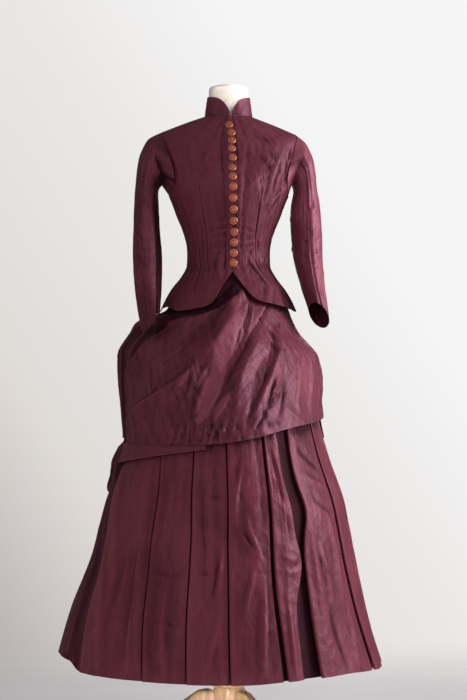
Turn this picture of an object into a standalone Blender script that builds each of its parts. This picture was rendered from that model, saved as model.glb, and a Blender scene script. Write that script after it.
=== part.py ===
"""Two-piece bustle dress on a limbless dress form: button-front bodice with a pointed basque, draped
apron overskirt with puffs over the bustle, pleated underskirt, and a padded form on a turned tripod."""

import bpy
import numpy as np

for old in list(bpy.data.objects):
    bpy.data.objects.remove(old, do_unlink=True)

# Driving sizes in metres. +X is the wearer's left, -Y the front, +Z up.
HEM = 0.272            # height of the hem over the floor at the front
WAIST = 1.262          # height of the waistband the skirts hang from
NECK_SEAM = 1.625      # height of the collar seam
FORM_TOP = 1.702       # height of the neck cap of the form
CLOTH = 0.0016         # wall of every cloth piece
SEAM = 0.0004          # half of the gap left between two pieces at a seam
BUTTON_RADIUS = 0.0098
BUTTON_HEIGHT = 0.0045
POLE_RADIUS = 0.013
CUFF_BEVEL = 0.027     # how much the inner front of a wrist is cut up
VENT = 5.0             # half opening of the wrist vent, degrees round the sleeve
LEG_REACH = 0.285      # from the pole to the tip of a foot
AXIS_Y = -0.052        # the pole stands in front of the middle of the whole outline

# Sections of the bodice: height at the side, half width, depth to front and back, and how far the ring
# drops at the centre front and the centre back.
BODY = np.array([
    # height  half    front   back    drop_f  drop_b
    (1.6250, 0.0600, 0.0500, 0.0560, 0.0040, -0.0040),
    (1.6110, 0.1000, 0.0660, 0.0760, 0.0160, 0.0080),
    (1.5960, 0.1380, 0.0800, 0.0900, 0.0300, 0.0220),
    (1.5800, 0.1720, 0.0920, 0.0980, 0.0420, 0.0320),
    (1.5600, 0.1790, 0.1000, 0.1020, 0.0440, 0.0360),
    (1.5300, 0.1760, 0.1100, 0.1050, 0.0360, 0.0300),
    (1.4950, 0.1680, 0.1200, 0.1060, 0.0240, 0.0200),
    (1.4650, 0.1600, 0.1260, 0.1050, 0.0120, 0.0100),
    (1.4350, 0.1530, 0.1280, 0.1020, 0.0040, 0.0030),
    (1.4020, 0.1390, 0.1240, 0.0980, 0.0000, 0.0000),
    (1.3720, 0.1280, 0.1160, 0.0930, 0.0000, 0.0000),
    (1.3420, 0.1155, 0.1060, 0.0870, 0.0000, 0.0000),
    (1.3130, 0.1065, 0.0960, 0.0810, 0.0000, 0.0000),
    (1.2830, 0.1030, 0.0890, 0.0780, 0.0000, 0.0000),
    (1.2540, 0.1035, 0.0885, 0.0800, 0.0000, 0.0000),
    (1.2240, 0.1180, 0.0950, 0.0980, 0.0000, 0.0000),
    (1.1950, 0.1405, 0.1070, 0.1280, 0.0000, 0.0000),
    (1.1650, 0.1580, 0.1230, 0.1650, 0.0000, 0.0000),
    (1.1330, 0.1720, 0.1390, 0.2000, 0.0000, 0.0000),
    (1.0900, 0.1900, 0.1560, 0.2400, 0.0000, 0.0000)])

# Edge of each armhole: height, and the angle from the centre front to its front and back edges.
ARMHOLE = np.array([
    # height  front   back
    (1.5830, 87.0, 93.0),
    (1.5700, 74.0, 105.0),
    (1.5400, 66.0, 113.0),
    (1.5000, 63.0, 116.0),
    (1.4600, 66.0, 114.0),
    (1.4400, 72.0, 109.0),
    (1.4320, 78.0, 104.0)])

# Lower edge of the basque: angle from the centre front, height on the wearer's right and on the left.
BASQUE = np.array([
    # angle  right   left
    (0.0, 1.2310, 1.2310),
    (9.0, 1.2000, 1.2020),
    (16.0, 1.1620, 1.1720),
    (21.0, 1.1460, 1.1600),
    (33.0, 1.1370, 1.1520),
    (48.0, 1.1330, 1.1460),
    (62.0, 1.1430, 1.1400),
    (78.0, 1.1480, 1.1430),
    (90.0, 1.1370, 1.1400),
    (104.0, 1.1500, 1.1500),
    (130.0, 1.1580, 1.1580),
    (180.0, 1.1500, 1.1500)])

# Outline of the overskirt: height, half width on the wearer's right and left, depth to front and back,
# and how far behind the pole the outline is widest.
HIP = np.array([
    # height  right   left    front   back    widest
    (1.2750, 0.0975, 0.0975, 0.0835, 0.0735, 0.000),
    (1.2540, 0.0992, 0.0992, 0.0852, 0.0770, 0.000),
    (1.2240, 0.1105, 0.1105, 0.0890, 0.0920, 0.000),
    (1.1950, 0.1300, 0.1300, 0.1000, 0.1190, 0.010),
    (1.1650, 0.1470, 0.1440, 0.1150, 0.1520, 0.022),
    (1.1400, 0.1630, 0.1570, 0.1280, 0.1800, 0.045),
    (1.1200, 0.2240, 0.1680, 0.1400, 0.2250, 0.070),
    (1.0900, 0.2450, 0.1860, 0.1560, 0.2850, 0.100),
    (1.0350, 0.2710, 0.2400, 0.1880, 0.3250, 0.145),
    (0.9770, 0.2680, 0.2520, 0.2250, 0.3400, 0.165),
    (0.9200, 0.2620, 0.2500, 0.2550, 0.3450, 0.165),
    (0.8700, 0.2600, 0.2540, 0.2780, 0.3400, 0.155),
    (0.8150, 0.2620, 0.2620, 0.2950, 0.3350, 0.135),
    (0.7700, 0.2720, 0.2720, 0.3080, 0.3380, 0.122),
    (0.6900, 0.2970, 0.2950, 0.3240, 0.3540, 0.108)])

# Outline of the underskirt, same columns.
SKIRT = np.array([
    # height  right   left    front   back    widest
    (1.2620, 0.0945, 0.0945, 0.0805, 0.0715, 0.000),
    (1.2350, 0.0990, 0.0990, 0.0825, 0.0780, 0.000),
    (1.1650, 0.1340, 0.1320, 0.1050, 0.1330, 0.022),
    (1.0350, 0.2200, 0.2150, 0.1730, 0.2900, 0.140),
    (0.8800, 0.2380, 0.2380, 0.2560, 0.3180, 0.145),
    (0.7750, 0.2600, 0.2640, 0.2920, 0.3200, 0.120),
    (0.6700, 0.2980, 0.2990, 0.3160, 0.3400, 0.105),
    (0.6200, 0.3110, 0.3090, 0.3240, 0.3550, 0.105),
    (0.5170, 0.3380, 0.3290, 0.3420, 0.3850, 0.125),
    (0.4000, 0.3820, 0.3610, 0.3560, 0.4250, 0.160),
    (0.2500, 0.4230, 0.4150, 0.3660, 0.4700, 0.190)])

# Pleats of the underskirt, from the centre back round by the wearer's right: angle of the lying edge
# from the centre front at the hem and at the hip, share of the face that lies flat at the hem and at
# the hip, depth under the next edge at the hem.
PLEATS = np.array([
    # hem     hip     flat_hem flat_hip under
    (-178.0, -178.0, 0.80, 0.85, 0.040),
    (-157.0, -158.0, 0.82, 0.85, 0.040),
    (-136.0, -139.0, 0.78, 0.85, 0.045),
    (-115.0, -120.0, 0.80, 0.85, 0.040),
    (-90.0, -101.0, 0.62, 0.80, 0.040),
    (-61.9, -78.0, 0.86, 0.85, 0.045),
    (-33.0, -45.0, 0.76, 0.88, 0.040),
    (-18.2, -24.7, 0.86, 0.86, 0.035),
    (-4.3, -7.3, 0.66, 0.80, 0.040),
    (14.8, 13.1, 0.60, 0.48, 0.035),
    (27.4, 28.1, 0.76, 0.74, 0.045),
    (60.0, 52.0, 0.72, 0.80, 0.045),
    (80.0, 74.0, 0.78, 0.85, 0.040),
    (100.0, 96.0, 0.82, 0.85, 0.040),
    (120.0, 118.0, 0.80, 0.85, 0.040),
    (140.0, 139.0, 0.82, 0.85, 0.040),
    (161.0, 160.0, 0.78, 0.85, 0.040)])

# Height of the hem by the angle from the centre front.
HEM_LINE = np.array([
    (-180.0, 0.274), (-95.0, 0.282), (-74.0, 0.283), (-64.0, 0.266), (-30.0, 0.271), (0.0, 0.272),
    (20.0, 0.277), (36.0, 0.276), (56.0, 0.265), (80.0, 0.257), (110.0, 0.262), (180.0, 0.274)])

# Side edges of the apron by height, as angles from the centre front, and its lower edge by angle.
APRON_SIDE = np.array([
    # height  right_edge  left_edge
    (1.2620, -60.0, 96.0),
    (1.1650, -50.0, 100.0),
    (1.1000, -40.0, 104.0),
    (1.0540, -52.0, 108.0),
    (0.9580, -73.0, 110.0),
    (0.8700, -74.0, 108.0),
    (0.8000, -73.0, 104.0)])
APRON_HEM = np.array([
    # angle   height
    (-80.0, 0.8140),
    (-34.0, 0.8100),
    (-18.0, 0.8110),
    (3.0, 0.8220),
    (28.0, 0.8440),
    (64.0, 0.8700),
    (90.0, 0.8850),
    (120.0, 0.9100)])

# Folds of the apron: angle and height of both ends, half width, and rise of the ridge or depth of the
# hollow when it is negative.
APRON_FOLDS = np.array([
    # angle0  z0     angle1  z1     width  rise
    (11.0, 1.165, -18.0, 0.914, 0.026, 0.0120),
    (31.0, 1.135, -6.0, 0.925, 0.020, -0.0060),
    (24.0, 1.075, -3.0, 0.875, 0.020, 0.0090),
    (31.0, 1.073, 3.0, 0.868, 0.016, -0.0060),
    (38.0, 1.060, 12.0, 0.868, 0.020, 0.0085),
    (44.0, 1.065, 34.0, 0.858, 0.018, -0.0050),
    (55.0, 1.055, 43.0, 0.868, 0.020, 0.0080),
    (76.0, 1.045, 63.0, 0.880, 0.022, 0.0070),
    (-23.0, 0.990, -70.0, 0.897, 0.022, 0.0090),
    (-34.0, 0.865, -31.0, 0.825, 0.014, 0.0060),
    (-23.0, 0.865, -22.0, 0.825, 0.014, 0.0070),
    (-10.0, 0.865, -12.0, 0.830, 0.014, 0.0060)])

# Gathers of the two puffs over the bustle, same columns.
PUFF_FOLDS = np.array([
    # angle0  z0     angle1  z1     width  rise
    (-78.0, 1.090, -84.0, 0.860, 0.016, 0.008),
    (-100.0, 1.110, -98.0, 0.860, 0.018, 0.010),
    (-120.0, 1.115, -122.0, 0.860, 0.020, 0.011),
    (-142.0, 1.120, -140.0, 0.850, 0.018, 0.010),
    (-165.0, 1.120, -163.0, 0.850, 0.020, 0.012),
    (172.0, 1.120, 170.0, 0.850, 0.018, 0.011),
    (150.0, 1.115, 152.0, 0.860, 0.020, 0.010)])
LOW_FOLDS = np.array([
    # angle0  z0     angle1  z1     width  rise
    (-88.0, 0.830, -84.0, 0.720, 0.014, 0.006),
    (-106.0, 0.840, -108.0, 0.700, 0.016, 0.008),
    (-130.0, 0.840, -128.0, 0.700, 0.018, 0.009),
    (-155.0, 0.840, -156.0, 0.700, 0.018, 0.009),
    (-180.0, 0.840, -180.0, 0.700, 0.020, 0.010),
    (154.0, 0.840, 156.0, 0.700, 0.018, 0.009),
    (128.0, 0.840, 130.0, 0.710, 0.018, 0.008),
    (104.0, 0.830, 106.0, 0.720, 0.016, 0.007)])

# Sleeves from the armhole to the wrist: centre, slope of the section, half width across and along Y.
SLEEVE_RIGHT = np.array([
    # x       y       z       slope  across  along
    (-0.1810, 0.0020, 1.5080, 72.0, 0.0620, 0.0600),
    (-0.1935, 0.0000, 1.4860, 46.0, 0.0440, 0.0620),
    (-0.2030, -0.0010, 1.4470, 16.0, 0.0300, 0.0600),
    (-0.2050, -0.0020, 1.4000, 2.0, 0.0305, 0.0570),
    (-0.2045, -0.0050, 1.3400, 0.0, 0.0325, 0.0540),
    (-0.2025, -0.0120, 1.2700, 0.0, 0.0360, 0.0510),
    (-0.2020, -0.0380, 1.2000, 0.0, 0.0335, 0.0450),
    (-0.2010, -0.0690, 1.1500, 0.0, 0.0285, 0.0390),
    (-0.1980, -0.1080, 1.1030, 0.0, 0.0210, 0.0330)])
SLEEVE_LEFT = np.array([
    # x       y       z       slope  across  along
    (0.1730, 0.0020, 1.5080, 72.0, 0.0600, 0.0600),
    (0.1860, 0.0000, 1.4860, 45.0, 0.0380, 0.0620),
    (0.1920, -0.0010, 1.4470, 14.0, 0.0290, 0.0600),
    (0.1930, -0.0020, 1.4000, 0.0, 0.0360, 0.0570),
    (0.1950, -0.0050, 1.3400, -2.0, 0.0385, 0.0540),
    (0.1980, -0.0120, 1.2700, -3.0, 0.0360, 0.0500),
    (0.2080, -0.0260, 1.2000, -6.0, 0.0300, 0.0450),
    (0.2140, -0.0380, 1.1600, -8.0, 0.0280, 0.0400),
    (0.2200, -0.0460, 1.1280, -8.0, 0.0255, 0.0370)])

# Buttons down the front edge: offset from the centre front and height.
BUTTONS = np.array([
    # x       z
    (-0.0060, 1.5940), (-0.0010, 1.5730), (-0.0010, 1.5520), (-0.0020, 1.5310), (-0.0010, 1.5070),
    (-0.0030, 1.4810), (-0.0030, 1.4580), (-0.0025, 1.4330), (-0.0020, 1.4060), (0.0000, 1.3790),
    (0.0010, 1.3520), (0.0030, 1.3260), (0.0030, 1.3010), (0.0030, 1.2760), (0.0025, 1.2510)])

# Torso of the form below the bust: height, half width, depth to front and back.
TORSO = np.array([
    (1.3420, 0.1100, 0.1000, 0.0810),
    (1.3000, 0.0900, 0.0800, 0.0690),
    (1.2700, 0.0840, 0.0700, 0.0600),
    (1.2240, 0.0920, 0.0720, 0.0680),
    (1.1500, 0.1150, 0.0800, 0.0850),
    (1.0800, 0.1380, 0.0880, 0.1050),
    (1.0200, 0.1460, 0.0900, 0.1120),
    (0.9600, 0.1400, 0.0840, 0.1060)])


def material(name, colour, roughness=0.5, metallic=0.0, sheen=0.0):
    mat = bpy.data.materials.new(name)
    mat.use_nodes = True
    shader = mat.node_tree.nodes["Principled BSDF"]
    shader.inputs["Base Color"].default_value = (*colour, 1.0)
    shader.inputs["Roughness"].default_value = roughness
    shader.inputs["Metallic"].default_value = metallic
    shader.inputs["Sheen Weight"].default_value = sheen
    mat.diffuse_color = (*colour, 1.0)
    return mat


TAFFETA = (0.105, 0.026, 0.040)


def add(name, points, faces, mat, crease=50.0):
    """One object from points in metres and its faces, smooth except across edges over the crease."""
    points = np.asarray(points, float) + (0.0, AXIS_Y, 0.0)
    mesh = bpy.data.meshes.new(name)
    mesh.from_pydata(points.tolist(), [], [tuple(int(i) for i in f) for f in faces])
    mesh.materials.append(mat)
    mesh.shade_smooth()
    mesh.set_sharp_from_angle(angle=np.radians(crease))
    mesh.update()
    obj = bpy.data.objects.new(name, mesh)
    bpy.context.collection.objects.link(obj)
    return obj


def along(table, t, column):
    """Smooth value of a column where the first column is t."""
    keys, values = table[:, 0], table[:, column]
    if keys[0] > keys[-1]:
        keys, values = keys[::-1], values[::-1]
    t = np.clip(t, keys[0], keys[-1])
    steps = np.diff(values) / np.diff(keys)
    inner = (steps[:-1] + steps[1:]) / 2
    limit = 3 * np.minimum(abs(steps[:-1]), abs(steps[1:]))
    inner = np.where(steps[:-1] * steps[1:] > 0, np.clip(inner, -limit, limit), 0.0)
    slopes = np.concatenate([steps[:1], inner, steps[-1:]])
    i = np.clip(np.searchsorted(keys, t) - 1, 0, len(keys) - 2)
    gap = keys[i + 1] - keys[i]
    s = (t - keys[i]) / gap
    low = (1 + 2 * s) * (1 - s) ** 2 * values[i] + s * (1 - s) ** 2 * gap * slopes[i]
    high = s**2 * (3 - 2 * s) * values[i + 1] + s**2 * (s - 1) * gap * slopes[i + 1]
    return low + high


def body(angle, height, out=0.0):
    """Point of the bodice's outer face: degrees from the centre front, positive to the wearer's left."""
    a = np.radians(angle)
    half = along(BODY, height, 1)
    front, back = along(BODY, height, 2), along(BODY, height, 3)
    drop_f, drop_b = along(BODY, height, 4), along(BODY, height, 5)
    c = np.cos(a)
    x = (half + out) * np.sin(a)
    y = -np.where(c > 0, front + out, back + out) * c
    z = height - np.where(c > 0, drop_f, drop_b) * c**2
    return np.stack([x, y, z + np.zeros_like(x)], -1)


def outline(table, angle, height, out=0.0):
    """Point of a skirt's outline; out moves it away from the pole."""
    a = np.radians(angle)
    s, c = np.sin(a), np.cos(a)
    right, left = along(table, height, 1) + out, along(table, height, 2) + out
    front, back = along(table, height, 3) + out, along(table, height, 4) + out
    widest = along(table, height, 5)
    x = np.where(s < 0, right, left) * s
    y = widest - np.where(c > 0, widest + front, back - widest) * c
    return np.stack([x, y, height + np.zeros_like(x)], -1)


def ridges(table, angle, height):
    """How far the cloth stands out at a point, from the rows of a table of folds."""
    rise = np.zeros(np.broadcast(angle, height).shape)
    for a0, z0, a1, z1, width, up in table:
        ax, bx = a0 * 0.0045, a1 * 0.0045
        turn = (angle * 0.0045 - ax + 0.81) % 1.62 - 0.81
        dx, dz = bx - ax, z1 - z0
        share = (turn * dx + (height - z0) * dz) / (dx**2 + dz**2)
        held = np.clip(share, 0, 1)
        away = np.hypot(turn - held * dx, height - z0 - held * dz)
        rise = rise + up * np.exp(-((away / width) ** 2))
    return rise


def normals(grid, closed):
    """Unit normals of a grid of points: rows go down the cloth, columns round it."""
    if closed:
        du = np.roll(grid, -1, 1) - np.roll(grid, 1, 1)
    else:
        du = np.gradient(grid, axis=1, edge_order=2)
    dv = np.gradient(grid, axis=0, edge_order=2)
    n = np.cross(dv, du)
    return n / np.linalg.norm(n, axis=2, keepdims=True)


def wall(name, grid, mat, closed=False, thick=CLOTH, normal=None):
    """A closed cloth wall whose outer face is the grid."""
    rows, cols = grid.shape[:2]
    n = normals(grid, closed) if normal is None else normal
    inner = grid - n * thick
    points = np.concatenate([grid.reshape(-1, 3), inner.reshape(-1, 3)])
    size = rows * cols
    faces = []
    for i in range(rows - 1):
        for j in range(cols if closed else cols - 1):
            k = (j + 1) % cols
            a, b, c, d = i * cols + j, (i + 1) * cols + j, (i + 1) * cols + k, i * cols + k
            faces += [(a, b, c, d), (a + size, d + size, c + size, b + size)]
    for j in range(cols if closed else cols - 1):
        k = (j + 1) % cols
        bottom = (rows - 1) * cols
        faces += [(j, k, k + size, j + size), (bottom + k, bottom + j, bottom + j + size, bottom + k + size)]
    if not closed:
        for i in range(rows - 1):
            a, b = i * cols, (i + 1) * cols
            faces += [(b, a, a + size, b + size)]
            a, b = a + cols - 1, b + cols - 1
            faces += [(a, b, b + size, a + size)]
    return add(name, points, faces, mat)


def lathe(name, profile, mat, sides=32, centre=(0.0, 0.0), squash=1.0, crease=35.0):
    """A turned solid from (radius, height) rows, top to bottom, closed at both ends."""
    turn = np.radians(np.arange(sides) * 360 / sides)
    points, faces = [], []
    for radius, height in profile:
        for t in turn:
            points.append((centre[0] + radius * np.cos(t), centre[1] + radius * squash * np.sin(t), height))
    rings = len(profile)
    for i in range(rings - 1):
        for j in range(sides):
            k = (j + 1) % sides
            faces.append((i * sides + j, (i + 1) * sides + j, (i + 1) * sides + k, i * sides + k))
    faces.append(tuple(range(sides)))
    faces.append(tuple((rings - 1) * sides + j for j in range(sides - 1, -1, -1)))
    return add(name, points, faces, mat, crease)


# Fronts of the bodice. The right front laps over the left one and carries the buttons.
bodice_cloth = material("bodice_taffeta", TAFFETA, 0.45, sheen=0.4)
upper = np.array([1.6250, 1.604, 1.583, 1.570, 1.540, 1.500, 1.460, 1.432, 1.395, 1.350, 1.305, 1.270,
                  1.248])
below = np.linspace(0.0, 1.0, 5)[1:]


def seam_rows(angles_of, bottom_of, cols, lift=None, first=0):
    """Grid of a bodice panel from the angles of its two edges and the height of its lower edge."""
    rows = []
    levels = upper[first:] - np.where(np.arange(len(upper) - first) == 0, 0.005 * (first > 0), 0.0)
    for height in levels:
        low, high = angles_of(height)
        angle = np.linspace(low, high, cols)
        out = lift(angle) if lift else 0.0
        rows.append(body(angle, np.full(cols, height), out))
    for share in below:
        angle = np.linspace(*angles_of(upper[-1] - share * 0.1), cols)
        height = upper[-1] + (bottom_of(angle) - upper[-1]) * share
        out = lift(angle) if lift else 0.0
        rows.append(body(angle, height, out))
    return np.array(rows)


def gap_angle(height):
    """Half of a seam's gap as an angle at this height."""
    return np.degrees(SEAM / along(BODY, height, 1))


def front_edge(height, side):
    """Angle where a front ends at the shoulder, the armhole or the side seam."""
    if height >= ARMHOLE[0, 0]:
        return side * (90.0 - gap_angle(height))
    if height >= ARMHOLE[-1, 0]:
        return side * along(ARMHOLE, height, 1)
    return side * (78.0 - gap_angle(height))


def back_edge(height, side):
    if height >= ARMHOLE[0, 0]:
        return side * (90.0 + gap_angle(height))
    if height >= ARMHOLE[-1, 0]:
        return side * along(ARMHOLE, height, 2)
    curve = 104.0 + 32.0 * np.clip((1.432 - height) / 0.162, 0, 1)
    return side * (curve + gap_angle(height))


right_front = seam_rows(
    lambda h: (front_edge(h, -1), 4.0),
    lambda a: np.where(a < 0, along(BASQUE, -a, 1), 1.231 - 0.004 * a), 11,
    lambda a: 0.0028 * np.clip((a + 10) / 6, 0, 1) ** 2 * (3 - 2 * np.clip((a + 10) / 6, 0, 1)))
wall("bodice_front_right", right_front, bodice_cloth)
wall("bodice_front_left", seam_rows(
    lambda h: (-3.0, front_edge(h, 1)),
    lambda a: np.where(a > 0, along(BASQUE, a, 2), 1.231), 11), bodice_cloth)

# Side bodies, from the armhole to the dropped side of the basque.
for side, column, name in ((-1, 1, "bodice_side_right"), (1, 2, "bodice_side_left")):
    def sides_of(height, side=side):
        back = abs(back_edge(height, side)) - 2 * gap_angle(height)
        ends = side * (78.0 + gap_angle(height)), side * back
        return min(ends), max(ends)
    wall(name, seam_rows(sides_of, lambda a, c=column: along(BASQUE, abs(a), c), 5, first=7), bodice_cloth)

# Backs, meeting at the centre back and running out over the bustle.
for side, column, name in ((-1, 1, "bodice_back_right"), (1, 2, "bodice_back_left")):
    def backs_of(height, side=side):
        ends = back_edge(height, side), side * (180.0 - gap_angle(height))
        return min(ends), max(ends)
    wall(name, seam_rows(backs_of, lambda a, c=column: along(BASQUE, abs(a), c), 8), bodice_cloth)

# Standing collar, cut away at the front.
collar_cloth = material("collar_taffeta", TAFFETA, 0.45, sheen=0.4)
COLLAR_TOP = np.array([
    # angle  height
    (3.0, 1.6300), (12.0, 1.6470), (28.0, 1.6620), (60.0, 1.6710), (110.0, 1.6750), (180.0, 1.6760)])
angle = np.linspace(3.0, 357.0, 33)
turn = np.radians(angle)
rows = []
for share in np.linspace(1.0, 0.0, 4):
    base = NECK_SEAM + 0.0008 - 0.0040 * np.cos(turn) * abs(np.cos(turn))
    height = base + (along(COLLAR_TOP, np.minimum(angle, 360 - angle), 1) - base) * share
    half, front, back = 0.0600 - 0.0065 * share, 0.0500 + 0.0012 * share, 0.0560 - 0.0020 * share
    depth = np.where(np.cos(turn) > 0, front, back)
    rows.append(np.stack([half * np.sin(turn), -depth * np.cos(turn), height], -1))
wall("collar", np.array(rows), collar_cloth)


# Coat sleeves, each an upper and an under piece, set over the armhole and left open at the wrist.
sleeve_cloth = material("sleeve_taffeta", TAFFETA, 0.45, sheen=0.4)


def armhole_ring(side, turns):
    """Points lying over the edge of an armhole, starting at the shoulder and going round by the front."""
    heights = np.linspace(1.583, 1.432, 40)
    angles = np.concatenate([along(ARMHOLE, heights, 1) - 5.0, along(ARMHOLE, heights[::-1], 2) + 4.0])
    heights = 1.508 + (np.concatenate([heights, heights[::-1]]) - 1.508) * 1.04
    edge = body(side * angles, heights, 0.0064 + 0.0010 * np.clip((heights - 1.545) / 0.03, 0, 1))
    run = np.concatenate([[0.0], np.cumsum(np.linalg.norm(np.diff(edge, axis=0), axis=1))])
    middle = (run[39] + run[40]) / 2
    share = np.where(turns < 180, turns / 180 * middle, middle + (turns - 180) / 180 * (run[-1] - middle))
    return np.stack([np.interp(share, run, edge[:, k]) for k in range(3)], -1)


def sleeve(side, table, low, high, cols):
    """Grid of a sleeve piece: rows of points from the armhole to the wrist between its two seams."""
    spread = np.column_stack([np.arange(len(table), dtype=float), table])
    last = len(table) - 1.0
    rows = [armhole_ring(side, np.linspace(low + 0.5, high - 0.5, cols) % 360)]
    for t in np.concatenate([[0.0, 0.5], np.arange(1.0, last + 1)]):
        x, y, z, slope, across, length = (along(spread, t, k) for k in range(1, 7))
        vent = VENT * np.clip((t / last - 0.86) / 0.14, 0, 1)
        phi = np.linspace(low + 0.5 + vent * (low > 0), high - 0.5 - vent * (low < 0), cols)
        a, tilt = np.radians(phi), np.radians(slope)
        lift = CUFF_BEVEL * np.cos(a - np.radians(125.0)) * np.clip((t - last + 2) / 2, 0, 1)
        rows.append(np.stack([x + side * across * np.cos(a) * np.cos(tilt),
                              y - length * np.sin(a),
                              z + across * np.cos(a) * np.sin(tilt) + lift], -1))
    return np.array(rows)


for side, table, seam, word in ((-1, SLEEVE_RIGHT, 124.0, "right"), (1, SLEEVE_LEFT, 88.0, "left")):
    for half, low, high in (("upper", seam - 224.0, seam), ("under", seam, seam + 136.0)):
        grid = sleeve(side, table, low, high, 10 if half == "upper" else 8)
        wall(f"sleeve_{half}_{word}", grid[:, ::-1] if side > 0 else grid, sleeve_cloth)

# Buttons down the right front, domed with a raised rim.
button_metal = material("button_copper", (0.58, 0.27, 0.15), 0.35, metallic=1.0)
BUTTON = [(0.45, 1.00), (0.74, 0.62), (0.90, 0.78), (1.0, 0.35), (0.88, 0.0)]


def on_front(x, z):
    """Point of the right front's outer face at this width and height."""
    heights = [np.interp(x, row[:, 0], row[:, 2]) for row in right_front[::-1]]
    depths = [np.interp(x, row[:, 0], row[:, 1]) for row in right_front[::-1]]
    return np.array([x, np.interp(z, heights, depths), z])


for number, (x, z) in enumerate(BUTTONS, 1):
    low, high = on_front(x, z - 0.008), on_front(x, z + 0.008)
    at = on_front(x, z)
    at[1] = min(at[1], (low[1] + high[1]) / 2)
    across = on_front(min(x + 0.003, 0.0045), z) - on_front(x - 0.007, z)
    out = np.cross(low - high, across)
    out /= np.linalg.norm(out)
    across /= np.linalg.norm(across)
    down = np.cross(across, out)
    points, faces, sides = [], [], 10
    for radius, level in BUTTON:
        for j in range(sides):
            t = 2 * np.pi * j / sides
            points.append(at + out * (0.0006 + BUTTON_HEIGHT * level)
                          + BUTTON_RADIUS * radius * (across * np.cos(t) + down * np.sin(t)))
    for i in range(len(BUTTON) - 1):
        for j in range(sides):
            k = (j + 1) % sides
            faces.append((i * sides + j, i * sides + k, (i + 1) * sides + k, (i + 1) * sides + j))
    faces.append(tuple(range(sides - 1, -1, -1)))
    faces.append(tuple((len(BUTTON) - 1) * sides + j for j in range(sides)))
    add(f"button_{number:02d}", points, faces, button_metal, 60.0)

# Pleated underskirt: wide flat knife pleats whose lying edges all face the wearer's right.
skirt_cloth = material("skirt_taffeta", TAFFETA, 0.45, sheen=0.4)


def pleated(height):
    """Closed path of the cloth round the skirt at one height, with its outward normals."""
    hip = np.clip((height - HEM) / (0.80 - HEM), 0, 1)
    close = np.clip((height - 0.80) / (1.275 - 0.80), 0, 1)
    edge = PLEATS[:, 0] * (1 - hip) + PLEATS[:, 1] * hip
    edge = edge * (1 - close) + np.linspace(-180, 180 - 360 / len(edge), len(edge)) * close
    nxt = np.append(edge[1:], edge[0] + 360)
    middle = -(0.0085 * (1 - hip) + 0.0058 * hip - 0.0018 * close)
    tail = middle - (0.0110 * (1 - hip) + 0.0040 * hip - 0.0027 * close)
    path = []
    for k in range(len(edge)):
        ring = outline(SKIRT, np.array([edge[k] - 0.5, edge[k] + 0.5, nxt[k] - 0.5, nxt[k] + 0.5]), height)
        per_metre = 1.0 / np.linalg.norm(ring[1] - ring[0]), 1.0 / np.linalg.norm(ring[3] - ring[2])
        face = (nxt[k] - edge[k]) / (per_metre[0] + per_metre[1]) * 2
        tuck = min(PLEATS[k, 4] * (1 - 0.45 * hip), 0.42 * face)
        flat = (PLEATS[k, 2] * (1 - hip) + PLEATS[k, 3] * hip) * (1 - close) + 0.84 * close
        dip = 0.0035 + (1 - flat) * face
        for length, out, far in (
                (0.0028, 0.0, 0), (0.5, 0.0, 2), (-dip, -0.0008 * (1 - hip), 1),
                (-0.0016 - 0.12 * dip, tail * 0.96, 1), (tuck, tail, 1), (tuck, middle, 1),
                (0.0028, middle, 1), (-0.0004, middle / 2, 1)):
            if far == 2:
                angle = edge[k] + (nxt[k] - edge[k]) * flat * length
            elif far:
                angle = nxt[k] + length * per_metre[1]
            else:
                angle = edge[k] + length * per_metre[0]
            point = outline(SKIRT, np.array([angle - 0.5, angle, angle + 0.5]), height)
            chord = (point[2] - point[0]) / np.linalg.norm(point[2] - point[0])
            path.append(point[1] + np.array([chord[1], -chord[0], 0.0]) * out)
    path = np.array(path)
    around = np.degrees(np.arctan2(path[:, 0], 0.12 - path[:, 1]))
    path[:, 2] += (along(HEM_LINE, around, 1) - HEM) * (1 - np.clip((height - HEM) / 0.4, 0, 1)) ** 2
    ahead = np.roll(path, -1, 0) - path
    ahead /= np.linalg.norm(ahead, axis=1, keepdims=True)
    chord = ahead + np.roll(ahead, 1, 0)
    chord /= np.linalg.norm(chord, axis=1, keepdims=True)
    return path, np.stack([chord[:, 1], -chord[:, 0], np.zeros(len(path))], -1)


levels = (WAIST, 1.235, 1.165, 1.035, 0.880, 0.775, 0.620, 0.450, HEM)
grid, normal = (np.array(part) for part in zip(*(pleated(level) for level in levels)))
round_twice, normal = np.concatenate([grid, grid], 1), np.concatenate([normal, normal], 1)

# The four widths are seamed at the bottom of a fold, so each begins 0.6 mm past the end of the last:
# name, number of the first pleat and count of pleats.
for word, first, count in (("back", 14, 6), ("right", 3, 3), ("front", 6, 5), ("left", 11, 3)):
    start, end = 8 * first - 4, 8 * (first + count) - 3
    piece = round_twice[:, start:end].copy()
    onward = piece[:, 1] - piece[:, 0]
    piece[:, 0] += 0.0006 * onward / np.linalg.norm(onward, axis=1, keepdims=True)
    wall(f"underskirt_{word}", piece, skirt_cloth, normal=normal[:, start:end])

# Puffs over the bustle, tucked in under the apron's two side edges.
puff_cloth = material("puff_taffeta", TAFFETA, 0.45, sheen=0.4)


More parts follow.
